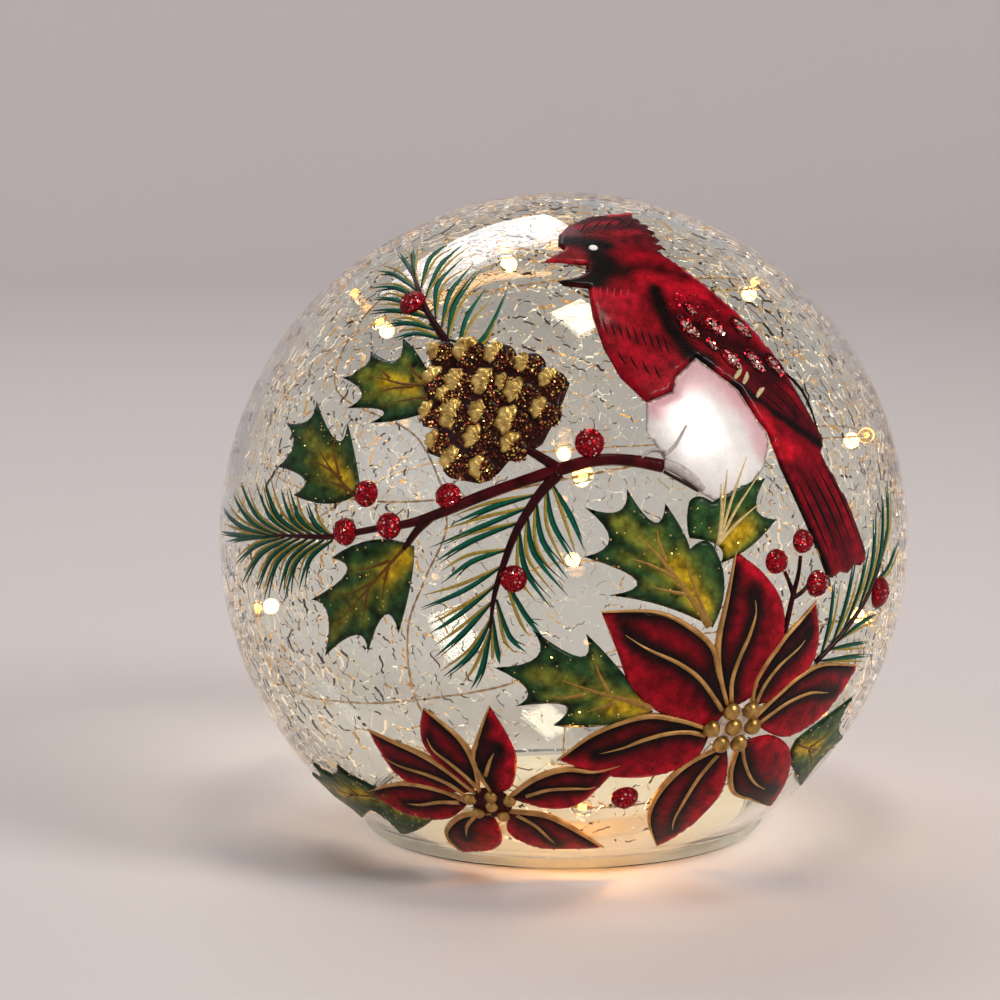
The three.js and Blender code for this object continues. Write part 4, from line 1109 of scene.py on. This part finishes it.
plumage = dabbed("7e0416", [
    ("3c0810", 0.95, 8.0, [(6, 92), (16, 96), (26, 90)]),
    ("5a0a14", 0.8, 4.0, [(16, 85), (24, 86), (29, 83)]),
    ("140406", 0.92, 3.8, [(11, 73), (18, 71.4), (26, 72), (32, 71)]),
    ("0a0405", 1.0, 3.2, [(-1, 83.6), (5, 83.4), (12, 82)]),
    ("0a0405", 1.0, 5.2, [(8, 79), (11, 75), (9, 69)]),
    ("0a0405", 1.0, 2.2, [(9, 67.5), (4, 67.4), (-1, 67.6)]),
    ("6e1016", 1.0, 2.6, [(-3.5, 76.6), (1, 77.2), (4.5, 77.4)]),
    ("c8303a", 0.9, 0.8, [(-4, 75.4), (1, 75.2), (5.4, 75)]),
    ("d03040", 0.9, 1.3, [(14, 98.6), (18, 100), (21, 102)]),
    ("a01424", 0.7, 1.2, [(4, 90), (10, 93), (16, 94)]),
    ("a01424", 0.6, 1.6, [(15, 88), (22, 90)]),
    ("b00e22", 0.8, 4.2, [(22, 69), (30, 68), (37, 66)]),
    ("b2102a", 0.8, 3.0, [(9, 62), (13, 61), (17, 62)]),
    ("3a060c", 0.6, 2.4, [(10, 54), (17, 51), (25, 49)]),
    ("9a061c", 0.7, 6.5, [(15, 55), (17, 47), (22, 40)]),
    ("0c0405", 1.0, 3.2, [(24.5, 66), (25.5, 60), (28, 53), (32, 47), (37, 44.6)]),
    ("560812", 0.75, 3.6, [(36, 62), (46, 54), (56, 44)]),
    ("1c0408", 0.9, 4.6, [(31, 56), (40, 52), (50, 48), (57, 44)]),
    ("2a050b", 0.8, 3.6, [(50, 42), (60, 34), (68, 27)]),
    ("0a0304", 1.0, 1.7, [(44, 39.5), (54, 33), (62, 28.5), (70, 24.8)]),
    ("b40a20", 0.9, 3.2, [(50, 31), (55, 23), (62, 21)]),
    ("4a0612", 0.75, 4.0, [(62, 18), (71, 5), (80, -8)]),
    ("0c0306", 1.0, 1.7, [(71.5, 21), (80, 9), (87, -4)]),
    ("0c0306", 1.0, 1.7, [(55, 18.5), (61, 7.4), (71.4, -9.6)]),
    ("a8283a", 0.7, 1.0, [(34, 75), (42, 68), (50, 59.5), (56, 51)]),
], 0.35)
bird = Build().add(*filled(CARDINAL, STEP, 0.2, 0.95, 0.9, plumage))


def feather_strokes(first, moves, count, widths, high, colour):
    """A row of strokes on the bird: each point of the first moves on by its own step."""
    for k in range(count):
        stroke = [(u + du * k, v + dv * k) for (u, v), (du, dv) in zip(first, moves)]
        bird.add(*ridge(tapered(stroke, *widths), 0.6, high, ink(colour)))


feather_strokes([(8, 60.5), (7.8, 63.5), (8, 66.5)], [(1.7, 0.6), (1.8, 0), (1.9, 0)],
                6, (0.3, 1.0, 0.2), 1.1, "c01a2e")
feather_strokes([(4, 86), (6, 91), (9.5, 95.5)], [(3.4, 1.2), (3.5, 0.8), (3.4, 0.6)],
                5, (0.3, 1.2, 0.2), 1.1, "240308")
feather_strokes([(9.6, 57), (10.4, 53.4), (11.6, 49)], [(1.9, -0.5), (1.95, -0.6), (1.95, -0.7)],
                9, (0.3, 1.1, 0.2), 1.06, "1c0306")
feather_strokes([(13, 47.5), (14.4, 44), (16.6, 41)], [(3, -1.2), (3, -1.3), (2.9, -1.2)],
                4, (0.3, 1.1, 0.2), 1.06, "1c0306")


def oval(u, v, long, short, count=20):
    """An outline that leans as the wing's feathers do."""
    turns = [2 * math.pi * k / count for k in range(count)]
    cos, sin = math.cos(FEATHER_SLOPE), math.sin(FEATHER_SLOPE)
    return [(u + long * math.cos(t) * cos - short * math.sin(t) * sin,
             v + long * math.cos(t) * sin + short * math.sin(t) * cos) for t in turns]


# Wing feathers: place, length and width, and the number of red and of pale glitter flakes on each.
FEATHER_SLOPE = math.radians(-50)
LARGE_FEATHERS = [(32.5, 54.5), (39.8, 56), (48, 56.6), (43.5, 46.6), (50.6, 46.6), (57, 46.4)]
SMALL_FEATHERS = [(38.5, 50), (33.5, 60.5)]
FEATHERS = [(u, v, 3.9, 2.0, 120, 60) for u, v in LARGE_FEATHERS]
FEATHERS += [(u, v, 2.2, 1.2, 44, 16) for u, v in SMALL_FEATHERS]
for u, v, long, short, *_ in FEATHERS:
    rim = oval(u, v, long, short)
    bird.add(*ridge([(x, y, 0.7) for x, y in rim + rim[:1]], 0.6, 1.2, ink("0c0305"), smooth=False))
for stroke in (
    [(44, 40.6), (45.4, 42.4), (46.4, 44)],
    [(46.4, 39.4), (47.6, 41.4), (48, 43)],
    [(50, 36), (51.4, 38), (52.6, 39)],
):
    bird.add(*ridge(tapered(stroke, 0.9, 1.7, 0.6), 0.6, 1.35, ink("c8b890")))
feather_strokes([(46, 41), (56, 34.5), (66, 26)], [(2.6, 1.6), (2.4, 1.4), (0.9, 0.6)],
                5, (0.4, 1.0, 0.3), 1.1, "120305")
feather_strokes([(59, 17), (66, 5), (73.5, -8.5)], [(2.4, 1.1), (2.6, 1.4), (2.7, 1.2)],
                5, (0.6, 1.6, 0.6), 1.1, "120305")
bird.add(*ridge(tapered([(5, 86), (9, 86.8), (14, 85.4)], 0.3, 0.9, 0.3), 0.6, 1.05, ink("7e1420")))
bird.piece("cardinal_plumage", ENAMEL, "red_enamel", nodes=["cardinal"])
eye = Build().add(*standing(8.3, 80.6, BEAD, 1.15, 0.85, 20, 0.5), colour=ink("f6f4f0"))
eye.piece("cardinal_eye", ENAMEL, "red_enamel")

belly_paint_and_highlight = dabbed("ece6e8", [
    ("dca4b0", 0.85, 6.5, [(24, 35), (30, 39), (36, 44), (44, 38)]),
    ("d898a6", 0.7, 3.0, [(23, 31), (27, 33)]),
    ("dca0ac", 0.75, 4.0, [(45, 37), (50, 28), (51, 22)]),
    # Whiter low on the belly: partly the white paint of the undertail, partly a painted highlight of the
    # window's glare.
    ("fcfafa", 0.9, 7.0, [(32, 26), (38, 20), (44, 17)]),
], 0.05)
belly = Build().add(*filled(BELLY, STEP, 0.05, 0.5, 3.0, belly_paint_and_highlight))
BELLY_WHITE = painted("belly_enamel", 0.06, Roughness=0.4, Coat_Weight=1.0, Coat_Roughness=0.17, Alpha=0.8)
belly.piece("cardinal_belly", BELLY_WHITE, "red_enamel")
foot = Build()
for points in (
    [(24, 19.6, 1.0), (27, 22, 0.9), (30, 27, 0.6)],
    [(24, 17.4, 2.4), (27, 16.6, 3), (31, 14, 2.8), (34, 11.4, 1.4)],
    [(25, 20.4, 0.9), (21, 20.6, 0.9), (18.6, 18.6, 0.6)],
):
    foot.add(*ridge(points, 0.3, 1.7, ink("b9b2b0")))
foot.add(*ridge([(24, 15.6, 0.8), (29, 13, 0.9), (32.6, 10.9, 0.5)], 0.3, 1.2, ink("2a1c1c")))
foot.piece("cardinal_foot", ENAMEL, "brown_enamel")
wing_glitter, wing_pale = Build(), Build()
for i, (u, v, long, short, red_flakes, pale_flakes) in enumerate(FEATHERS):
    scatter(wing_glitter, 60 + i, oval(u, v, long, short), red_flakes, 1.15, 0.38)
    scatter(wing_pale, 80 + i, oval(u + 0.4, v - 0.6, long * 0.8, short * 0.6), pale_flakes, 1.3, 0.36)
scatter(wing_glitter, 95, [(26, 62), (34, 68), (44, 60), (40, 52)], 130, 1.02, 0.3)
wing_glitter.facets("wing_glitter", RED_GLITTER, "red_glitter")
wing_pale.facets("wing_glitter_pale", PALE_GLITTER, "red_glitter")


# ---- Base ----
def plastic(name, colour, dark, light):
    """Moulded plastic with a faint unevenness of colour and a fine grain."""
    material = surface(name, colour, Roughness=0.42)
    mottled(material, 60, [(0.35, ink(dark)), (0.65, ink(light))], Detail=3.0)
    return bumpy(material, 2600, 0.00003, Detail=2.0)


CREAM = plastic("cream_plastic", "f0e4cc", "e9dcc2", "f4ead4")
BLACK = plastic("black_plastic", "17171a", "121214", "1e1e21")
RUBBER = bumpy(mottled(surface("soft_rubber", "d8d8d0", Roughness=0.62), 120,
                       [(0.3, ink("cfcfc8")), (0.7, ink("dfdfd8"))]), 1800, 0.00005)
STEEL = bumpy(mottled(surface("bright_steel", "b8bac0", Metallic=1.0, Roughness=0.26), 300,
                      [(0.3, ink("9c9ea4")), (0.7, ink("ced0d4"))]), 900, 0.00002, stretch=(1, 14, 1))
BOARD_GREEN = bumpy(mottled(surface("board_green", "2b6b3c", Roughness=0.4, Coat_Weight=0.5), 500,
                            [(0.45, ink("1f5a30")), (0.55, ink("33784a"))]), 900, 0.00004)


def softened(piece, width):
    """Rounds the edges of a moulding by a width in millimetres."""
    bevel = piece.modifiers.new("edges", "BEVEL")
    bevel.width = width * MM
    bevel.segments = 2
    bevel.limit_method = "ANGLE"
    bevel.angle_limit = math.radians(40)
    return piece


SEAL = [(48.75, 1.35), (49.25, 1.35), (49.3, 1.6), (49.3, 3.3), (49.0, 3.6), (48.7, 3.3), (48.7, 1.6),
        (48.75, 1.35)]
Build().add(*turned(SEAL, 160)).piece("base_seal_ring", RUBBER, "soft_rubber", nodes=["base_seal"])
FOOT_RING = 41
PAD = [(0, 0), (3.8, 0), (4.0, 0.15), *arc(3.7, 0.3, 0.3, 0, 90, 3), (0, 0.6)]
for i in range(4):
    angle = math.radians(45 + 90 * i)
    at = Vector((FOOT_RING * math.cos(angle), FOOT_RING * math.sin(angle), 0)) * MM
    pad = Build().add(*turned(PAD, 40, at))
    pad.piece(f"foot_pad_{i + 1}", RUBBER, "soft_rubber", nodes=[f"foot_{i + 1}"], smooth=40)

COVER = [
    (0, 7.6), (30.4, 7.6), (30.8, 7.2), (30.8, 2.5), (48.2, 2.5), (48.4, 2.7), (48.4, 3.5),
    *arc(47.9, 3.5, 0.5, 0, 90, 4), (32.6, 4.0), (32.0, 4.5), (32.0, 7.8), *arc(31.2, 7.8, 0.8, 0, 90, 5),
    (22.0, 8.6), (21.7, 8.35), (21.3, 8.35), (21.0, 8.6), (0, 8.6),
]
cover = Build().add(*turned(COVER, 160))
cover.piece("base_cover_moulding", CREAM, "cream_plastic", nodes=["base_cover"], smooth=35)

FLOOR_LOW, FLOOR_TOP = 0.9, 2.1
DOOR = (44, 23, 0, -8)  # width, depth and the place of its middle
DOOR_OPENING = (44.6, 23.6, 0, -8)
SWITCH_OPENING = (8, 3.4, -4, 14, 0.5)
DOOR_GROOVE = (10, 1.2, 15, -8, 0.5)
GROOVE_FLOOR = (9.8, 1.0, 15, -8, 0.45)
SCREW_HOLE = 2.3
BASE_SCREWS = [(0, -25.5), (25, 11), (-25, 11)]
DOOR_SCREWS = [(0, 1), (0, -17)]
floor_holes = [rectangle(*DOOR_OPENING), rectangle(*SWITCH_OPENING)]
floor_holes += [ring_of(SCREW_HOLE, 28, x, y) for x, y in BASE_SCREWS]
shell = Build().add(*plate(ring_of(48.4, 160), floor_holes, FLOOR_LOW, FLOOR_TOP))
softened(shell.piece("base_shell_moulding", CREAM, "cream_plastic", nodes=["base_shell"], smooth=35), 0.18)
door_holes = [ring_of(SCREW_HOLE, 28, x, y) for x, y in DOOR_SCREWS] + [rectangle(*DOOR_GROOVE)]
door = Build().add(*plate(rectangle(*DOOR), door_holes, FLOOR_LOW, FLOOR_TOP))
door_piece = door.piece("battery_door_moulding", CREAM, "cream_plastic", "door", ["battery_door"], smooth=35)
softened(door_piece, 0.15)
groove = Build().add(*plate(rectangle(*GROOVE_FLOOR), [], 1.3, 1.9))
groove.piece("battery_door_groove", CREAM, "cream_plastic", "door", smooth=35)

HEAD_Z, SHANK_Z = 1.5, 6.2


def screw(name, body, node, x, y):
    """A cross-recessed pan head on a threaded shank."""
    cross = [(0.25, 1.15), (0.25, 0.25), (1.15, 0.25)]
    recess = []
    for turn in range(4):
        c, s = (1, 0, -1, 0)[turn], (0, 1, 0, -1)[turn]
        recess += [(x + px * c + py * s, y + px * s - py * c) for px, py in reversed(cross)]
    recess = sorted(recess, key=lambda p: math.atan2(p[1] - y, p[0] - x))
    made = Build().add(*plate(ring_of(2.0, 32, x, y), [recess], 0.85, 1.25))
    made.add(*turned([(0, 1.2), (2.0, 1.2), (2.0, 1.4), (1.9, 1.5), (0, 1.5)], 32, Vector((x, y, 0)) * MM))
    thread, z = [(0, HEAD_Z - 0.1), (1.0, HEAD_Z - 0.1)], HEAD_Z
    while z < SHANK_Z - 0.6:
        thread += [(1.1, z + 0.2), (0.85, z + 0.4)]
        z += 0.5
    thread += [(0.4, SHANK_Z), (0, SHANK_Z)]
    made.add(*turned(thread, 20, Vector((x, y, 0)) * MM))
    made.piece(name, STEEL, "bright_steel", body, [node], smooth=35)


for i, (x, y) in enumerate(BASE_SCREWS, 1):
    screw(f"base_screw_{i}_steel", ROOT, f"base_screw_{i}", x, y)
for i, (x, y) in enumerate(DOOR_SCREWS, 1):
    screw(f"door_screw_{i}_steel", f"door_screw_{i}", f"door_screw_{i}", x, y)

CELL = [(0, 0), (8.2, 0), (8.4, 0.1), (8.5, 0.45), (9.2, 0.5), (9.7, 0.7), *arc(9.6, 1.2, 0.4, -50, 0, 3),
        *arc(9.5, 2.7, 0.5, 0, 90, 5), (0, 3.2)]
for i, x in enumerate((-10.8, 10.8), 1):
    cell = Build().add(*turned(CELL, 72, Vector((x, -8, 2.9)) * MM))
    cell.piece(f"coin_cell_{i}_can", STEEL, "bright_steel", nodes=[f"coin_cell_{i}"], smooth=40)
GROMMET = [(0.8, 6.7), (3.1, 6.7), (3.3, 6.9), (3.3, 7.3), (2.1, 7.3), (2.1, 8.9), (3.3, 8.9),
           *arc(2.7, 9.2, 0.6, 0, 90, 4), (0.8, 9.8), (0.8, 6.7)]
grommet = Build().add(*turned(GROMMET, 40, Vector((0, 24, 0)) * MM))
grommet.piece("wire_grommet_rubber", RUBBER, "soft_rubber", nodes=["wire_grommet"], smooth=35)

# These small parts keep their CAD shapes.
for node, material in {
    "contact_plus": STEEL, "contact_minus": STEEL, "door_link": STEEL, "timer_board": BOARD_GREEN,
    "timer_chip": BLACK, "switch_body": BLACK, "switch_knob": BLACK,
}.items():
    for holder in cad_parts[node].material_slots:
        holder.material = material

# ---- Floor, backdrop and light ----
STAGE = surface("stage", "d8d1d2", Roughness=0.9)

# A round floor that curves up into a low wall, so that every side has the same pale background.
FLOOR_RADIUS, CURVE, WALL_TOP = 1150, 400, 600
stage_profile = [(0, 0), *[(FLOOR_RADIUS * k / 6, 0) for k in range(1, 6)],
                 *arc(FLOOR_RADIUS, CURVE, CURVE, -90, 0, 16), (FLOOR_RADIUS + CURVE, WALL_TOP)]
stage_points, stage_faces = turned(stage_profile, 96)
backdrop = bpy.data.meshes.new("backdrop")
backdrop.from_pydata([tuple(p) for p in stage_points], [], stage_faces)
backdrop.shade_smooth()
backdrop.materials.append(STAGE)
backdrop_object = bpy.data.objects.new("backdrop", backdrop)
bpy.context.scene.collection.objects.link(backdrop_object)


def softbox(name, direction, distance, width, height, power, colour):
    """A soft light that faces the globe, its distance and size in metres and its power in watts."""
    light = bpy.data.lights.new(name, "AREA")
    light.shape = "RECTANGLE"
    light.size = width
    light.size_y = height
    light.energy = power
    light.color = ink(colour)
    lamp = bpy.data.objects.new(name, light)
    aim = Vector(direction).normalized()
    lamp.location = CENTRE + aim * distance
    lamp.rotation_euler = aim.to_track_quat("Z", "Y").to_euler()
    bpy.context.scene.collection.objects.link(lamp)


softbox("window", (0.623, -0.445, 0.643), 1.3, 0.34, 0.42, 9, "fffaf2")
softbox("ceiling", (0.077, -0.088, 0.993), 1.3, 0.24, 0.28, 3.8, "fff2dc")
softbox("fill", (-0.8, -0.5, 0.55), 1.6, 1.1, 1.3, 4, "f6f6ff")
softbox("back", (-0.3, 0.7, 0.9), 1.4, 0.8, 0.5, 6, "fbfaff")

# The room: paler at the horizon than overhead.
world = bpy.data.worlds.new("room")
world.use_nodes = True
sky, sky_links = world.node_tree.nodes, world.node_tree.links
split = sky.new("ShaderNodeSeparateXYZ")
fade = sky.new("ShaderNodeValToRGB")
fade.color_ramp.elements[0].position = 0.15
fade.color_ramp.elements[0].color = (*ink("dcdade"), 1)
fade.color_ramp.elements[1].position = 0.75
fade.color_ramp.elements[1].color = (*ink("45463f"), 1)
sky_links.new(sky.new("ShaderNodeTexCoord").outputs["Generated"], split.inputs["Vector"])
sky_links.new(split.outputs["Z"], fade.inputs["Fac"])
sky_links.new(fade.outputs["Color"], sky["Background"].inputs["Color"])
sky["Background"].inputs["Strength"].default_value = 0.88
bpy.context.scene.world = world
bpy.context.scene.view_settings.view_transform = "Standard"
